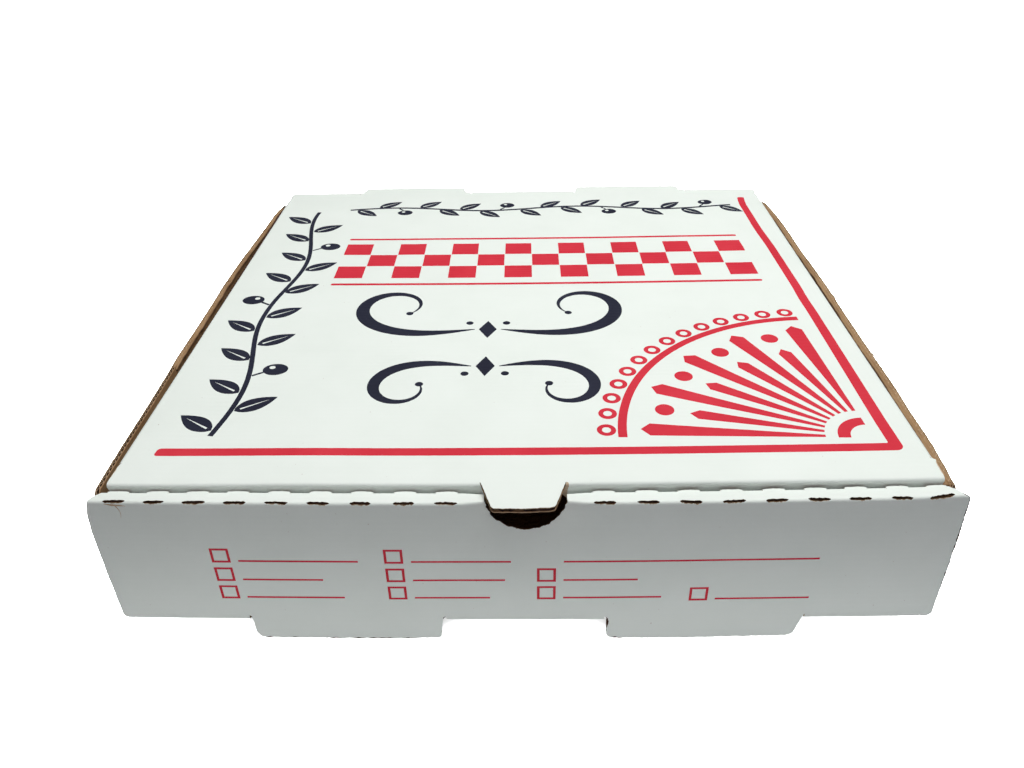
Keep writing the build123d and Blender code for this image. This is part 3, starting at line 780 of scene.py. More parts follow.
ROLL_INK += [(SPECK, [worn_line(RIGHT_END[2:] + [(133.45, s_of(36.0)), (133.45, s_of(12.0))], 0.42, 81)]),
             # two thin tan strokes at the top left corner: a tear in the liner, with the shadow under its lifted edge
             # painted in
             (TORN, [stroke([(-126.3, s_of(50.0)), (-124.0, s_of(49.6)), (-121.6, s_of(49.45)), (-119.8, s_of(49.3))], [0.15, 0.75, 0.55, 0.12])]),
             (TORN, [stroke([(-123.0, s_of(49.4)), (-122.4, s_of(48.1)), (-122.1, s_of(46.9)), (-122.15, s_of(45.6)), (-122.5, s_of(44.4))], [0.50, 0.24, 0.16, 0.12, 0.06])])]

roll_face = Flat([ROLL_LOOP, notch_loop()] + [slit_loop(i, x, 0.48, 0.50, 100) for i, x in enumerate(SLITS)] + [tooth_hole(x) for x in SLITS],
                 fold_roll, warp_tray, ROLL_LINES, ROLL_PTS, ROLL_INK, seam_roll)
roll_back = Flat([ROLL_LOOP, notch_loop(0.25)] + [slit_loop(i, x, 0.75, 0.60, 300) for i, x in enumerate(SLITS)] + [tooth_hole(x) for x in SLITS],
                 fold_roll, warp_tray, ROLL_LINES, ROLL_PTS, (), seam_roll)


# top edge of each side wall: y, height, corner radius
TOP = {-1: [(6.8, 50.3, 1.2), (14.0, 50.5, 0.0), (212.0, 50.6, 0.0), (229.0, 50.3, 0.0), (240.0, 49.7, 6.0), (250.6, 48.2, 2.0), (YF1, 46.6, 0.0)],
       1: [(6.8, 50.2, 1.2), (14.0, 50.3, 0.0), (206.0, 50.1, 0.0), (224.0, 49.6, 0.0), (233.0, 49.05, 0.0), (244.0, 48.4, 4.0), (251.0, 47.2, 2.0), (YF1, 46.0, 0.0)]}


def base_outline():
    uz, sy = u_z, s_y
    top_z = ZSEAM - RO
    s_top = SW + top_z

    def wing(sg):
        w = [(0.0, SF), (3.95, SF), (3.95, SF - A90 - 46, 2.0), (uz(30), SF - A90 - 46, 5.0), (uz(47.4), SF - A90 - 40, 5.0),
             (uz(47.4), SF - 1.2), (uz(48.3), SF + 0.5)]
        w += [(uz(h), sy(y), r) for y, h, r in TOP[sg]]
        w += [(uz(44.4), SR + 1.2), (uz(44.4), SR + A90 + 27, 5.0), (uz(28), SR + A90 + 33, 5.0),
              (3.95, SR + A90 + 33, 2.0), (3.95, SR), (0.0, SR)]
        return [(sg * (XF + p[0]), *p[1:]) for p in w]

    slot = lambda a, b: [(a, 0), (a, SB0), (a + 1.4, sy(SLOT_Y), 2.0), (b - 1.4, sy(SLOT_Y), 3.0), (b, SB0), (b, 0)]
    win = [(WIN1, s_top), (85.5, SW + 43.5 - RO, 2.5), (32.0, SW + 43.5 - RO, 2.5), (WIN0, s_top)]
    neg = lambda q: [(-p[0], *p[1:]) for p in q]
    pts = [(-XF, 0)] + neg(slot(*FEET[-1]))[::-1] + slot(*FEET[1]) + [(XF, 0)]
    pts += wing(1) + [(XF, SW - 1.0), (XR, SW - 0.4), (XR, s_top - 1.5, 1.0), (XC + 0.4, s_top - 0.6), (XC, s_top)] + win
    pts += neg(win)[::-1] + [(-XC, s_top), (-XC - 0.4, s_top - 0.6), (-XR, s_top - 1.5, 1.0), (-XR, SW - 0.4), (-XF, SW - 1.0)]
    pts += wing(-1)[::-1]
    return refine(rounded(pts), 4.0, ((XF + 30, XF + 60, SF + 4, SR - 6, 1.5, 0.10, 21), (-XF - 60, -XF - 30, SF + 4, SR - 6, 1.5, 0.10, 22)))


BASE_LOOP = base_outline()
BASE_LINES, BASE_PTS = [], []
for _s in [SA / 2] + [SA + (SB0 - SA) * _k / 8 for _k in range(9)] + [SB0 + 0.9, SB0 + 1.7, SB0 + 2.5]:
    BASE_LINES.append(((-XF - 1, _s), (XF + 1, _s)))
for _k in range(9):
    BASE_LINES.append(((-XF - 1, SB1 + A90 * _k / 8), (XF + 1.0, SB1 + A90 * _k / 8)))
    for _sg in (-1, 1):
        _u = _sg * (XF + A90 * _k / 8)
        BASE_LINES.append(((_u, SF), (_u, SR)))
        BASE_LINES.append(((_sg * (XF + 3.96), SF - A90 * _k / 8), (_sg * (XF + 60), SF - A90 * _k / 8)))
        BASE_LINES.append(((_sg * (XF + 3.96), SR + A90 * _k / 8), (_sg * (XF + 60), SR + A90 * _k / 8)))
BASE_PTS += grid(-126, 126, 6, SB1 - 3, 9, 9) + grid(-126, 126, SW + 3, SW + 42, 9, 9)
for _sg in (-1, 1):
    BASE_PTS += grid(_sg * (XF + 30) - 22, _sg * (XF + 30) + 19, SF + 4, SR - 4, 6, 6)
base_flat = Flat([BASE_LOOP], fold_base, warp_tray, BASE_LINES, BASE_PTS, (), lambda u, s: np.abs(s) < 1e-4)


# the lid's two front corners are raw edges; its rear lugs aren't quite alike
RAW = {-1: [(-126.1, 16.5, 0.3), (-126.4, 15.2, 1.0), (-126.5, 9.0, 1.0)],
       1: [(126.4, 16.5, 0.3), (127.3, 15.5, 0.8), (127.0, 12.8, 2.0), (126.8, 9.0, 0.8)]}
LUG = {-1: (31.6, 32.3, 86.2, 87.9, 262.6), 1: (28.9, 30.0, 84.9, 86.1, 262.2)}


def lid_outline():
    def half(sg):
        return [(sg * XC, YSEAM), (sg * XC, 251.2), (sg * XL, 250.0), (sg * XL, 249.7), (sg * (XL + AS), 249.5),
                (sg * (XL + AS + 33), 241.5, 8.0), (sg * (XL + AS + 33), 25.0, 8.0), (sg * (XL + AS), 17.0), (sg * XL, 16.9),
                (sg * XL, 16.6)] + RAW[sg] + [(sg * FLAP_X, YL)]

    lug = lambda sg: [(sg * 28.6, YSEAM), (sg * 28.6, 255.9), (sg * LUG[sg][0], 256.3, 0.3), (sg * LUG[sg][1], LUG[sg][4], 2.0), (sg * LUG[sg][2], LUG[sg][4], 2.0),
                      (sg * LUG[sg][3], 256.3, 0.3), (sg * 88.9, 255.9), (sg * 88.9, YSEAM)]
    tongue = [(13.2, YL), (12.9, YL), (9.3, -4.2, 2.2), (0.6, -4.6), (-9.2, -4.35, 1.2), (-12.9, YL), (-13.2, YL)]
    pts = [(-WIN1, YSEAM)] + lug(-1)[::-1] + [(-WIN0, YSEAM), (WIN0, YSEAM)] + lug(1) + [(WIN1, YSEAM)] + half(1) + tongue + half(-1)[::-1]
    loop = [(p[0], -p[1]) for p in rounded(pts)]
    return refine(loop, 4.0, ((-13, 13, 2.4, 10, 0.4, 0.22, 51), (-12.95, 12.95, -7.0, 10, 0.8, 0.10, 52), (126.6, 130, -16.5, -7.8, 0.6, 0.24, 53), (-130, -126.6, -16.5, -7.8, 0.7, 0.14, 54),
                              (-89, 89, -270, -256, 1.5, 0.08, 55)))


LID_LOOP = lid_outline()
LID_LINES, LID_PTS = [], []
for _sg in (-1, 1):
    for _e in [-2.5, -1.7, -0.9] + [AS * _k / 8 for _k in range(9)] + [AS + 0.9, AS + 1.7, AS + 2.5]:
        _u = _sg * (XL + _e)
        LID_LINES.append(((_u, -249.65), (_u, -16.95)))
for _e in (0.9, 1.7, 2.5):
    LID_LINES.append(((-126.0, -YL - _e), (126.0, -YL - _e)))
LID_PTS += grid(-120, 120, -250, -12, 6, 6)
LID_PTS += [(float(u), -YL - e) for u in np.arange(-122, 123, 4.0) for e in (0.9, 1.7, 2.5)]
for _sg in (-1, 1):
    LID_PTS += grid(_sg * (XL + 20) - 14, _sg * (XL + 20) + 12, -245, -22, 8, 8)
LID_INK = [(k, [[(x, -y) for x, y in loop] for loop in shape]) for k, shape in INK_LID]
LID_INK += [(TORN, [worn_line([(127.3, -15.5), (127.0, -12.8), (126.8, -9.0), (126.5, -YL - 0.4)], 0.4, 83)]),
            (TORN, [worn_line([(-126.5, -9.0), (-126.4, -15.2)], 0.2, 84)])]


def seam_lid(u, s):
    return (np.abs(s + YL) < 1e-4) & (np.abs(u) > 13.19) & (np.abs(u) < FLAP_X + 0.01)


lid_face = Flat([LID_LOOP], fold_lid, warp_lid, LID_LINES, LID_PTS, LID_INK, seam_lid)
lid_back = Flat([LID_LOOP], fold_lid, warp_lid, LID_LINES, LID_PTS, (), seam_lid)


def flap_outline():
    pts = [(-FLAP_X, 0.0), (-13.2, 0.0), (-11.8, 4.2), (-12.1, 5.2), (-14.4, 7.6, 1.5), (-14.4, 22.0, 7.0), (14.4, 22.0, 7.0), (14.4, 7.6, 1.5), (12.1, 5.2), (11.8, 4.2), (13.2, 0.0), (FLAP_X, 0.0),
           (FLAP_X, A95), (124.0, A95 + 13.0), (115.0, A95 + 34.0, 6.0), (-115.0, A95 + 34.0, 6.0), (-124.0, A95 + 13.0), (-FLAP_X, A95)]
    return refine(rounded(pts), 4.0)


FLAP_LINES = [((-130, A95 * _k / 9), (130, A95 * _k / 9)) for _k in range(1, 10)] + [((-130, A95 + _e), (130, A95 + _e)) for _e in (0.9, 1.7, 2.5)]
FLAP_PTS = [(float(u), A95 * _k / 9) for _k in range(1, 10) for u in np.arange(-120, 121, 8.0)] + grid(-116, 116, A95 + 5, A95 + 30, 8, 8)
# torn sliver beside the tongue, on the right
FLAP_INK = [(TORN, [[(13.25, 0.05), (13.7, 0.3), (13.85, 1.4), (13.5, 2.6), (13.4, 4.2), (13.9, 6.4), (11.6, 6.4), (11.5, 4.2), (12.4, 2.0)]])]
flap_flat = Flat([flap_outline()], fold_flap, warp_lid, FLAP_LINES, FLAP_PTS, FLAP_INK, lambda u, s: np.abs(s) < 1e-4)


def crease_flat(u0, u1):
    end = 2 * CREASE + A90
    pts = [(u0, 0.0), (u1, 0.0)]
    for u, order in ((u1, 1), (u0, -1)):
        side = []
        for k in range(1, 8):
            s = end * k / 8
            pinch = (1.5 if u < 0 else 1.0) * math.sin(math.pi * k / 8) ** 1.4 if abs(u) > 120 else 0.0
            side.append((u - math.copysign(pinch, u), s))
        if order > 0:
            pts += side + [(u1, end), (u0, end)]
        else:
            pts += side[::-1]
    lines = [((u0 - 1, CREASE + A90 * k / 10), (u1 + 1, CREASE + A90 * k / 10)) for k in range(11)]
    return Flat([refine(pts, 4.0)], fold_crease, warp_none, lines, [])


# ------------------------------------------------------------------ fluting
def spans(loops, s):
    xs = []
    for L in loops:
        b = np.roll(L, -1, 0)
        cr = (L[:, 1] > s) != (b[:, 1] > s)
        if cr.any():
            p, q = L[cr], b[cr]
            xs.extend((p[:, 0] + (s - p[:, 1]) * (q[:, 0] - p[:, 0]) / (q[:, 1] - p[:, 1])).tolist())
    xs.sort()
    return list(zip(xs[0::2], xs[1::2]))


def flute_layer(skin, loops, fold, warp, cols, mat, rim, inset=0.12, seed=0, steps=6, shift=None):
    loops = [np.asarray(L, float) for L in loops]
    lo, hi = min(L[:, 1].min() for L in loops), max(L[:, 1].max() for L in loops)
    ds = PITCH / steps
    rows = np.arange(lo + 0.13, hi - 0.1, ds)
    prev = None
    V, F, FL, K, base = [], [], [], [], 0
    mid, half, th = T / 2, (T - 2 * LIN) / 2 - 0.13, 0.11
    for s in rows:
        cur = [(a + inset, b - inset) for a, b in spans(loops, float(s) + 1.3e-5) if b - a > 3 * inset + 0.4]
        if prev is not None:
            for a0, b0 in prev[1]:
                over = [(a1, b1) for a1, b1 in cur if min(b0, b1) - max(a0, a1) > 0.3]
                for a1, b1 in over:
                    l0, r0, l1, r1 = a0, b0, a1, b1
                    if len(over) > 1 or sum(1 for c, d in prev[1] if min(d, b1) - max(c, a1) > 0.3) > 1:
                        l0 = l1 = max(a0, a1)
                        r0 = r1 = min(b0, b1)
                    inner = [c for c in (cols(prev[0]) if callable(cols) else cols) if min(l0, l1) < c < max(r0, r1)]
                    u0 = np.array([l0] + [min(max(c, l0), r0) for c in inner] + [r0])
                    u1 = np.array([l1] + [min(max(c, l1), r1) for c in inner] + [r1])
                    n = len(u0)
                    u = np.concatenate([u0, u1])
                    sv = np.concatenate([np.full(n, prev[0]), np.full(n, s)])
                    ph = 2 * np.pi * sv / PITCH + 1.1 * noise2(u / 45.0, sv / 60.0, 70 + seed)
                    if shift is not None:
                        ph = ph + shift(u, sv)
                    wm = mid + half * np.cos(ph)
                    pts = [warp(fold(u, sv, wm + d)) for d in (-th, th)]
                    V.append(np.concatenate(pts))
                    FL.append(np.concatenate([np.stack([u, sv], 1)] * 2))
                    for i in range(n - 1):
                        F.append([base + i, base + n + i, base + n + i + 1, base + i + 1])
                        K.append(0)
                        j = base + 2 * n
                        F.append([j + i, j + i + 1, j + n + i + 1, j + n + i])
                        K.append(1)
                    F.append([base, base + 2 * n, base + 3 * n, base + n])
                    K.append(2)
                    F.append([base + n - 1, base + 2 * n - 1, base + 4 * n - 1, base + 3 * n - 1])
                    K.append(2)
                    base += 4 * n
        prev = (float(s), cur)
    skin.raw(np.concatenate(V), F, [rim if k == 2 else mat for k in K], K, np.concatenate(FL))


# ------------------------------------------------------------------ materials
def nodes_for(name):
    m = bpy.data.materials.new(name)
    m.use_nodes = True
    nt = m.node_tree
    nt.nodes.clear()
    out = nt.nodes.new("ShaderNodeOutputMaterial")
    b = nt.nodes.new("ShaderNodeBsdfPrincipled")
    nt.links.new(b.outputs["BSDF"], out.inputs["Surface"])
    return m, nt, b


def noise_node(nt, vec, scale, detail=2.0, rough_=0.5):
    n = nt.nodes.new("ShaderNodeTexNoise")
    n.inputs["Scale"].default_value = scale
    n.inputs["Detail"].default_value = detail
    n.inputs["Roughness"].default_value = rough_
    nt.links.new(vec, n.inputs["Vector"])
    return n.outputs["Fac"]


def ramp(nt, fac, stops):
    r = nt.nodes.new("ShaderNodeValToRGB")
    el = r.color_ramp.elements
    while len(el) < len(stops):
        el.new(0.5)
    for e, (p, c) in zip(el, stops):
        e.position = p
        e.color = (*c, 1.0)
    nt.links.new(fac, r.inputs["Fac"])
    return r.outputs["Color"]


def mix(nt, fac, a, b, kind="MIX"):
    n = nt.nodes.new("ShaderNodeMix")
    n.data_type = "RGBA"
    n.blend_type = kind
    for sock, val in ((n.inputs[0], fac), (n.inputs[6], a), (n.inputs[7], b)):
        if isinstance(val, (int, float)):
            sock.default_value = val
        elif isinstance(val, tuple):
            sock.default_value = (*val, 1.0)
        else:
            nt.links.new(val, sock)
    return n.outputs[2]


def math_node(nt, op, a, b=0.0):
    n = nt.nodes.new("ShaderNodeMath")
    n.operation = op
    for sock, val in ((n.inputs[0], a), (n.inputs[1], b)):
        if isinstance(val, (int, float)):
            sock.default_value = val
        else:
            nt.links.new(val, sock)
    return n.outputs[0]


def stretched(nt, coord, scale):
    mp = nt.nodes.new("ShaderNodeMapping")
    mp.inputs["Scale"].default_value = scale
    nt.links.new(coord, mp.inputs["Vector"])
    return mp.outputs["Vector"]


def board(name, base, dark, light, rough_, spec, speck=None, washboard=0.0, fibre=0.25, wear=None):
    """Paper liner: cloudy tone, fibres, specks, and a trace of the flutes below."""
    m, nt, b = nodes_for(name)
    geo = nt.nodes.new("ShaderNodeTexCoord").outputs["Object"]
    flat = nt.nodes.new("ShaderNodeAttribute")
    flat.attribute_name = "flat"
    fl = flat.outputs["Vector"]
    cloud = noise_node(nt, geo, 38.0, 3.0, 0.55)
    col = ramp(nt, cloud, [(0.30, dark), (0.50, base), (0.72, light)])
    fib = noise_node(nt, stretched(nt, fl, (0.55, 3.4, 1.0)), 1.0, 3.0, 0.6)
    col = mix(nt, fibre, col, ramp(nt, fib, [(0.28, dark), (0.5, base), (0.70, light)]))
    if speck is not None:
        sp = noise_node(nt, fl, 0.95, 1.0, 0.4)
        mask = ramp(nt, sp, [(0.0, (0, 0, 0)), (0.785, (0, 0, 0)), (0.83, (1, 1, 1))])
        col = mix(nt, mask, col, speck)
    if wear is not None:
        sc = noise_node(nt, stretched(nt, fl, (0.9, 0.35, 1.0)), 1.0, 4.0, 0.7)
        mask = ramp(nt, sc, [(0.0, (0, 0, 0)), (0.66, (0, 0, 0)), (0.74, (1, 1, 1))])
        col = mix(nt, mask, col, wear)
    nt.links.new(col, b.inputs["Base Color"])
    rr = nt.nodes.new("ShaderNodeMapRange")
    rr.inputs["From Min"].default_value, rr.inputs["From Max"].default_value = 0.3, 0.7
    rr.inputs["To Min"].default_value, rr.inputs["To Max"].default_value = rough_ - 0.06, rough_ + 0.08
    nt.links.new(fib, rr.inputs["Value"])
    nt.links.new(rr.outputs["Result"], b.inputs["Roughness"])
    b.inputs["Specular IOR Level"].default_value = spec
    sep = nt.nodes.new("ShaderNodeSeparateXYZ")
    nt.links.new(fl, sep.inputs["Vector"])
    wob = noise_node(nt, stretched(nt, fl, (0.02, 0.02, 1.0)), 1.0, 1.0, 0.5)
    wave = math_node(nt, "SINE", math_node(nt, "MULTIPLY_ADD", sep.outputs["Y"], 2 * math.pi / PITCH))
    wave.node.inputs[0].links[0].from_node.inputs[2].default_value = 0.0
    fine = noise_node(nt, geo, 2600.0, 2.0, 0.6)
    hgt = math_node(nt, "ADD", math_node(nt, "MULTIPLY", wave, washboard), math_node(nt, "MULTIPLY", fine, 0.012))
    hgt = math_node(nt, "ADD", hgt, math_node(nt, "MULTIPLY", wob, 0.2))
    bp = nt.nodes.new("ShaderNodeBump")
    bp.inputs["Strength"].default_value = 0.55
    bp.inputs["Distance"].default_value = 0.001
    nt.links.new(hgt, bp.inputs["Height"])
    nt.links.new(bp.outputs["Normal"], b.inputs["Normal"])
    return m


WHITE_C = (0.805, 0.862, 0.810)
m_white = board("white_liner", WHITE_C, (0.782, 0.840, 0.787), (0.826, 0.880, 0.832), 0.60, 0.22, (0.60, 0.585, 0.54), 0.020)
m_red = board("red_ink", (0.640, 0.030, 0.052), (0.585, 0.024, 0.044), (0.690, 0.045, 0.068), 0.56, 0.16, (0.70, 0.16, 0.18), 0.020)
m_navy = board("navy_ink", (0.016, 0.018, 0.036), (0.011, 0.012, 0.027), (0.024, 0.027, 0.047), 0.55, 0.16, (0.07, 0.075, 0.10), 0.020)
m_kraft = board("kraft_liner", (0.375, 0.222, 0.112), (0.305, 0.172, 0.082), (0.440, 0.275, 0.150), 0.72, 0.2, (0.20, 0.11, 0.055), 0.030, 0.4)
m_edge = board("torn_edge", (0.560, 0.440, 0.310), (0.40, 0.275, 0.165), (0.70, 0.62, 0.50), 0.85, 0.1, None, 0.0, 0.6)
m_cut = board("cut_edge", (0.400, 0.245, 0.130), (0.27, 0.150, 0.072), (0.50, 0.34, 0.205), 0.85, 0.1, None, 0.0, 0.6)
# fluting: kraft brown darkened well below the liners, painting the shade in the flute hollows
m_flute_painted_shade = board("fluting", (0.120, 0.068, 0.036), (0.080, 0.043, 0.022), (0.170, 0.102, 0.056), 0.85, 0.1, None, 0.0, 0.6)
m_crush = board("crushed_edge", (0.330, 0.205, 0.105), (0.215, 0.120, 0.060), (0.430, 0.290, 0.165), 0.80, 0.12, (0.13, 0.07, 0.035), 0.0, 0.55)
# dark brown that paints shade: on the raw edges of the roll's inner liner seen through the slits and notch, and as
# shade lines along the outer edge, the lid side, the underside and the ends of the side walls' crushed tops
m_shade_rim = board("painted_shade_rim_brown", (0.190, 0.112, 0.058), (0.120, 0.066, 0.034), (0.265, 0.165, 0.092), 0.85, 0.1, None, 0.0, 0.55)
m_tip = board("flute_ends", (0.520, 0.370, 0.235), (0.40, 0.265, 0.155), (0.62, 0.48, 0.34), 0.85, 0.1, None, 0.0, 0.6)
# very dark brown that paints shade: in the flute hollows, inside the front roll behind the slits and thumb notch, and
# in the lid's flutes at the tongue's cut edge; the dark specks and nicks along the feet's torn edges and the right raw
# edge use it too
m_painted_shade_and_specks = board("painted_shade_flutes_and_specks", (0.070, 0.036, 0.026), (0.046, 0.022, 0.016), (0.105, 0.058, 0.042), 0.85, 0.1, None, 0.0, 0.6)
MATS = [m_white, m_red, m_navy, m_kraft, m_edge, m_cut, m_flute_painted_shade, m_crush, m_shade_rim, m_tip, m_painted_shade_and_specks]
WHITE, KRAFT, EDGE, CUT, FLUTE_SHADED, CRUSH, SHADE_RIM, TIP, PAINTED_SHADE = 0, 3, 4, 5, 6, 7, 8, 9, 10
# ink slot 5 (specks) takes the painted-shade brown
FACE = [0, 1, 2, 3, 4, 10]

# ------------------------------------------------------------------ build: tray
tray_face = Skin("tray_white_liner")
tray_face.layer(roll_face, 0.0, LIN, FACE, CUT, EDGE)
tray_face.layer(base_flat, 0.0, LIN, FACE, CUT, EDGE)
ob_tray_face = tray_face.build(MATS)

tray_back = Skin("tray_kraft_liner")
# the roll's inner liner, where it faces the flutes, and its raw edges are painted in shade colours, seen through the
# slits and the notch
tray_back.layer(roll_back, T - LIN, T, [PAINTED_SHADE] * 3, KRAFT, SHADE_RIM)
tray_back.layer(base_flat, T - LIN, T, [CUT] * 3, KRAFT, CUT)
ob_tray_back = tray_back.build(MATS)

tray_flute = Skin("tray_fluting")
# the roll's flutes take the painted-shade brown
flute_layer(tray_flute, roll_back.loops, fold_roll, warp_tray, list(np.arange(-126, 127, 14.0)), PAINTED_SHADE, PAINTED_SHADE, seed=1)
_cols = list(np.arange(-126, 127, 18.0)) + [s * (XF + k) for s in (-1, 1) for k in (0, 0.9, 1.8, 2.7, A90, 12, 24, 36, 44)]
# the walls' flutes, in the shaded fluting brown, with lighter ends
flute_layer(tray_flute, base_flat.loops, fold_base, warp_tray, sorted(_cols), FLUTE_SHADED, TIP, inset=0.04, seed=2)
ob_tray_flute = tray_flute.build(MATS)


def teeth():
    """Short tongues of the strip that stay flat where the rear fold is slit."""
    sk = Skin("strip_teeth")
    for i, x in enumerate(SLITS):
        n = 15
        reach = RR + 0.22 + 0.15 * float(noise1(i * 2.7, 61))
        front = [(x + 3.05, 0.05), (x - 3.05, 0.05)]
        tip = []
        for k in range(n):
            t = 2.0 * k / (n - 1) - 1.0
            tip.append((x + 2.95 * t, -reach * (1 - 0.22 * abs(t) ** 5) - 0.16 * float(rough((x + 3 * t) / 0.8, 200 + i))))
        loop = [(x - 3.05, 0.05), (x - 3.35, -0.5), (x - 3.3, -0.9)] + tip + [(x + 3.3, -0.9), (x + 3.35, -0.5), (x + 3.05, 0.05)]
        fl = Flat([loop], fold_tooth, warp_tray)
        sk.layer(fl, 0.0, LIN, FACE, CUT, EDGE)
        sk.layer(fl, LIN + 0.01, 1.15, [CUT] * 3, CUT, CUT)
    return sk.build(MATS)


ob_teeth = teeth()


def crushed_top(name, sg, y0, y1, gaps, lip, deep, nubs):
    """Where a side wall's raw top edge is pressed flat over its flutes; nubs (y, half length, reach) are torn bits that stick out."""
    sk = Skin(name)
    ys = np.arange(y0, y1 + 0.01, 0.6)
    tops = np.interp(ys, [p[0] for p in TOP[sg]], [p[1] for p in TOP[sg]])
    ends = np.clip(np.minimum(ys - y0, y1 - ys) / 2.5, 0, 1)
    low = np.where(ys < 20.0, 0.2, 0.7) * (1 - ends)
    for a, b in gaps:
        low = low + deep * smooth((ys - a) / 2.0) * smooth((b - ys) / 2.0) * (0.75 + 0.5 * noise1(ys / 1.1, 91))
    low = low + 0.06 + 0.09 * rough(ys / 2.2, 92 + sg)
    wide = lip + 0.32 * rough(ys / 5.0, 95 + sg) - 0.5 * np.minimum(low, 1.0) + 0.7 * smooth((15.0 - ys) / 8.0)
    nub = 0.10 * np.maximum(rough(ys / 2.6, 193 + sg), 0)
    for y, half, reach in nubs:
        nub = nub + reach * smooth(1 - np.abs(ys - y) / half)
    ring = []
    for w, dz in ((-0.04, -0.55), (0.04, -0.14), (0.42, -0.02), (0.95, 0.0), (1.45, -0.05), (None, -0.16), (None, -0.55), (1.62, -1.15), (0.10, -1.15)):
        if w is None:
            wv = np.maximum(wide - (0.32 if dz > -0.3 else 0.0), 1.60)
        else:
            wv = np.full(len(ys), w) - (nub if w < 0.1 and dz > -1 else 0.0)
        bump = 0.05 * rough(ys / 1.4 + 3.1 * len(ring), 97) if dz > -0.5 else 0.0
        z = tops - low + dz + bump
        p = np.stack([np.full(len(ys), 0.0), ys, z], 1)
        ring.append(warp_tray(fold_base(sg * (XF + u_z(z)), s_y(p[:, 1]), wv)))
    n, m = len(ys), len(ring)
    V = np.concatenate(ring)
    F = []
    for i in range(m):
        j = (i + 1) % m
        for k in range(n - 1):
            q = [i * n + k, i * n + k + 1, j * n + k + 1, j * n + k]
            F.append(q if sg < 0 else q[::-1])
    c0, c1 = [i * n for i in range(m)], [i * n + n - 1 for i in range(m)]
    F += [c0 if sg < 0 else c0[::-1], c1[::-1] if sg < 0 else c1]
    flat = np.concatenate([np.stack([np.full(n, 7.0 * i), ys], 1) for i in range(m)])
    # the bands at the outer edge, next to the lid and below take the painted-shade rim brown; only the middle bands
    # show the crushed edge's own colour
    mats = [CRUSH if i in (2, 3, 4) else SHADE_RIM for i in range(m) for _ in range(n - 1)] + [SHADE_RIM, SHADE_RIM]
    sk.raw(V, F, mats, 0, flat)
    return sk.build(MATS)


ob_cap_left = crushed_top("left_wall_top", -1, 77.0, 246.0, ((150.0, 153.0), (196.0, 199.0)), 2.5, 0.4, ((84.0, 4.0, 0.2),))
ob_cap_right = crushed_top("right_wall_top", 1, 6.7, 250.0, ((118.0, 121.0), (125.0, 128.0)), 3.1, 0.45,
                           ((131.5, 4.5, 0.6), (83.3, 2.2, 0.75), (74.0, 3.0, 0.35), (152.0, 4.0, 0.2), (31.0, 3.0, 0.2)))

# ------------------------------------------------------------------ build: lid
lid_skin = Skin("lid_white_liner")
lid_skin.layer(lid_face, 0.0, LIN, FACE, CUT, EDGE)
lid_skin.layer(flap_flat, 0.0, LIN, FACE, CUT, EDGE)
ob_lid_face = lid_skin.build(MATS)
lid_in = Skin("lid_kraft_liner")
lid_in.layer(lid_back, T - LIN, T, [CUT] * 3, KRAFT, TIP)
lid_in.layer(flap_flat, T - LIN, T, [CUT] * 6, KRAFT, CUT)
ob_lid_back = lid_in.build(MATS)
lid_flute = Skin("lid_fluting")
_cols = list(np.arange(-117, 118, 18.0)) + [s * (XL + k) for s in (-1, 1) for k in (-2.5, -1.2, 0, 0.45, 0.9, 1.35, AS, AS + 1.2, AS + 2.5, 14, 26)]
_fine = sorted(_cols + list(np.arange(-12.6, 12.7, 0.45)))   # closer together in the tongue only
_cols = sorted(_cols)


def torn_waves(u, s):
    """The tongue's front edge is cut slantwise over its flutes."""
    return (2.2 * np.sin(2 * np.pi * u / 6.5) + 1.6 * noise1(u / 2.3, 77)) * smooth((s + 1.5) / 4.0) * (np.abs(u) < 12.8)


# the lid's flutes take the painted-shade brown, painting the shade in the tongue's cut edge
flute_layer(lid_flute, lid_back.loops, fold_lid, warp_lid, lambda s: _fine if s > -12.0 else _cols, PAINTED_SHADE, PAINTED_SHADE, seed=3, shift=torn_waves)
# the lid flap's flutes, in the shaded fluting brown
flute_layer(lid_flute, flap_flat.loops, fold_flap, warp_lid, list(np.arange(-117, 118, 18.0)), FLUTE_SHADED, FLUTE_SHADED, seed=4)
ob_lid_flute = lid_flute.build(MATS)

# ------------------------------------------------------------------ build: rear crease
crease = Skin("rear_crease")
for _u0, _u1 in ((-XC, -WIN1), (-WIN0, WIN0), (WIN1, XC)):
    _c = crease_flat(_u0, _u1)
    crease.layer(_c, 0.0, LIN, FACE, CUT, WHITE if abs(_u0) > 100 or abs(_u1) > 100 else EDGE)
    _c = crease_flat(max(_u0, 0.4 - XC), min(_u1, XC - 0.4))
    crease.layer(_c, LIN + 0.005, T - LIN - 0.005, [CUT] * 3, CUT, CUT)
    crease.layer(_c, T - LIN, T, [CUT] * 3, KRAFT, CUT)
ob_crease = crease.build(MATS)


def row(x, y, z):
    return (x / 1000.0, (y - Y_MID) / 1000.0, (z + FOOT_H) / 1000.0)


for ob in (ob_tray_face, ob_tray_back, ob_tray_flute, ob_teeth, ob_cap_left, ob_cap_right):
    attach(ob, "tray")
for ob in (ob_lid_face, ob_lid_back, ob_lid_flute):
    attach(ob, "lid")
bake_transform(ob_crease)
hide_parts("tray")
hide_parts("lid")

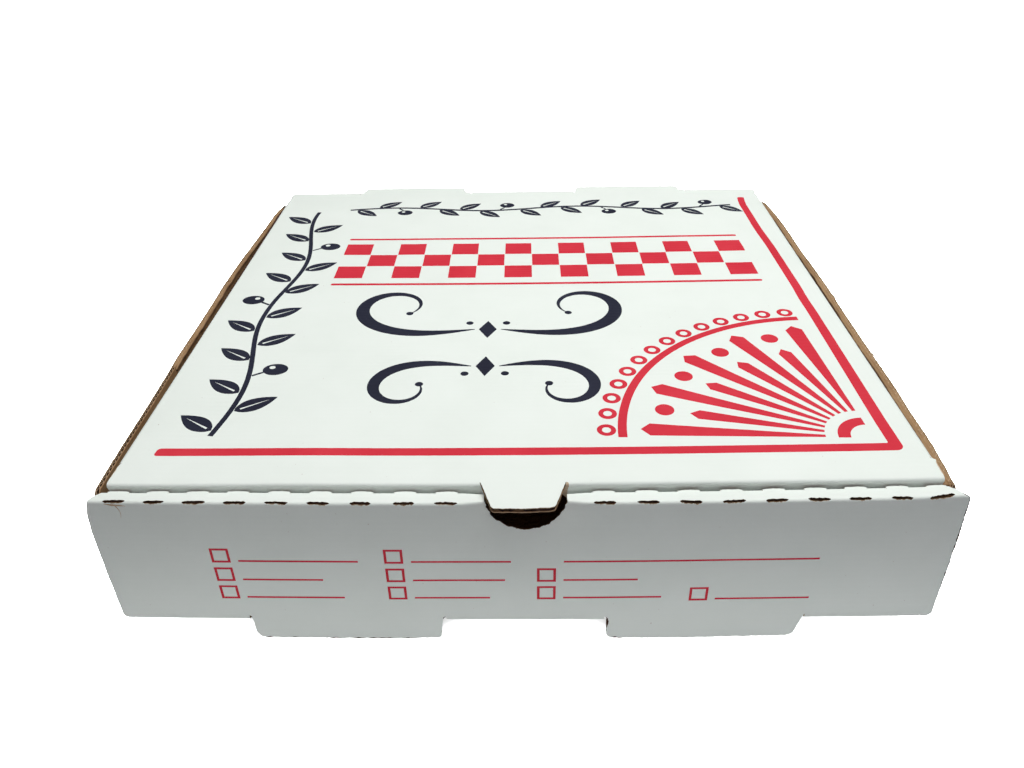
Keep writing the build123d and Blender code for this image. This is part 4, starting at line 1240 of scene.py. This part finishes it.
# ------------------------------------------------------------------ floor, light, camera
TILT = math.atan2(8.6, 254.5)
me = bpy.data.meshes.new("floor")
_pts = []
for _x, _y in ((-6, -6), (6, -6), (6, 6), (-6, 6)):
    _pts.append((_x, _y, (_y + 0.1285) * math.tan(TILT) - 0.0002))
me.from_pydata(_pts, [], [(0, 1, 2, 3)])
floor = bpy.data.objects.new("floor", me)
bpy.context.scene.collection.objects.link(floor)
fm, fnt, fb = nodes_for("floor_paper")
fgeo = fnt.nodes.new("ShaderNodeTexCoord").outputs["Object"]
fnt.links.new(ramp(fnt, noise_node(fnt, fgeo, 9.0, 2.0), [(0.3, (0.935, 0.94, 0.94)), (0.7, (0.955, 0.955, 0.955))]), fb.inputs["Base Color"])
fb.inputs["Roughness"].default_value = 0.9
fb.inputs["Specular IOR Level"].default_value = 0.1
me.materials.append(fm)

# white backdrop all round, far off
me = bpy.data.meshes.new("backdrop")
_ring = [(5.9 * math.cos(2 * math.pi * k / 48), 5.9 * math.sin(2 * math.pi * k / 48)) for k in range(48)]
me.from_pydata([(x, y, -1.0) for x, y in _ring] + [(x, y, 5.0) for x, y in _ring], [], [(k, 48 + k, 48 + (k + 1) % 48, (k + 1) % 48) for k in range(48)])
backdrop = bpy.data.objects.new("backdrop", me)
bpy.context.scene.collection.objects.link(backdrop)
bm_ = bpy.data.materials.new("backdrop_paper")
bm_.use_nodes = True
bnt = bm_.node_tree
bnt.nodes.clear()
be = bnt.nodes.new("ShaderNodeEmission")
be.inputs["Color"].default_value = (1.0, 1.0, 1.0, 1.0)
be.inputs["Strength"].default_value = 1.0
bnt.links.new(be.outputs["Emission"], bnt.nodes.new("ShaderNodeOutputMaterial").inputs["Surface"])
me.materials.append(bm_)
for ob in (floor, backdrop):
    ob.visible_diffuse = False
    ob.visible_glossy = False
    ob.visible_transmission = False
    ob.visible_shadow = False

# soft light that comes back from the pale floor, and a dim room above
world = bpy.data.worlds.new("studio")
bpy.context.scene.world = world
world.use_nodes = True
wt = world.node_tree
wt.nodes.clear()
bg = wt.nodes.new("ShaderNodeBackground")
wt.links.new(bg.outputs["Background"], wt.nodes.new("ShaderNodeOutputWorld").inputs["Surface"])
wsep = wt.nodes.new("ShaderNodeSeparateXYZ")
wt.links.new(wt.nodes.new("ShaderNodeTexCoord").outputs["Generated"], wsep.inputs["Vector"])
wr = wt.nodes.new("ShaderNodeMapRange")
wr.inputs["From Min"].default_value, wr.inputs["From Max"].default_value = 0.05, 0.45
wr.inputs["To Min"].default_value, wr.inputs["To Max"].default_value = 0.30, 0.06
wt.links.new(wsep.outputs["Z"], wr.inputs["Value"])
bg.inputs["Color"].default_value = (0.985, 0.975, 1.0, 1.0)
wt.links.new(wr.outputs["Result"], bg.inputs["Strength"])


def area(name, size_x, size_y, watts, colour, place, turn):
    la = bpy.data.lights.new(name, "AREA")
    la.shape = "RECTANGLE"
    la.size, la.size_y = size_x, size_y
    la.energy, la.color = watts, colour
    lo = bpy.data.objects.new(name, la)
    lo.location, lo.rotation_euler = place, turn
    lo.visible_camera = False
    bpy.context.scene.collection.objects.link(lo)
    return lo


area("overhead", 0.6, 0.6, 5.95, (1.0, 1.0, 0.99), row(90.0, 190.0, 752.0), (0, 0, 0))
area("front", 0.9, 0.5, 1.14, (0.97, 0.90, 1.0), row(-20.0, -600.0, 700.0), (math.pi / 2 - math.atan2(650.0, 600.0), 0, 0))
area("cool_side", 0.3, 0.3, 0.014, (0.25, 0.15, 1.0), row(330.0, -260.0, 40.0), Vector((-270.0, 260.0, -15.0)).to_track_quat("-Z", "Y").to_euler())
area("low_front", 0.34, 0.016, 0.024, (0.98, 1.0, 1.0), row(0.0, -45.0, -4.0), (math.pi / 2, 0, 0))

sun = bpy.data.lights.new("floor_light", "SUN")
sun.energy = 26.0
sun.angle = math.radians(130)
so = bpy.data.objects.new("floor_light", sun)
bpy.context.scene.collection.objects.link(so)
lit = bpy.data.collections.new("floor_only")
lit.objects.link(floor)
so.light_linking.receiver_collection = lit

cam = bpy.data.cameras.new("camera")
cam.sensor_fit = "HORIZONTAL"
cam.sensor_width = 36.0
cam.lens = 845.0 / 1024.0 * 36.0
cam.clip_start, cam.clip_end = 0.01, 50.0
co = bpy.data.objects.new("camera", cam)
bpy.context.scene.collection.objects.link(co)
pitch, roll_, yaw = (math.radians(a) for a in (32.851, -1.075, -1.165))
fwd = Vector((math.sin(yaw) * math.cos(pitch), math.cos(yaw) * math.cos(pitch), -math.sin(pitch)))
right = Vector((math.cos(yaw), -math.sin(yaw), 0.0))
up = right.cross(fwd)
r2 = right * math.cos(roll_) + up * math.sin(roll_)
u2 = -right * math.sin(roll_) + up * math.cos(roll_)
loc = row(1.249, -192.973, 216.306)
co.matrix_world = Matrix(((r2.x, u2.x, -fwd.x, loc[0]), (r2.y, u2.y, -fwd.y, loc[1]), (r2.z, u2.z, -fwd.z, loc[2]), (0, 0, 0, 1)))
bpy.context.scene.camera = co
bpy.context.scene.view_settings.view_transform = "Standard"
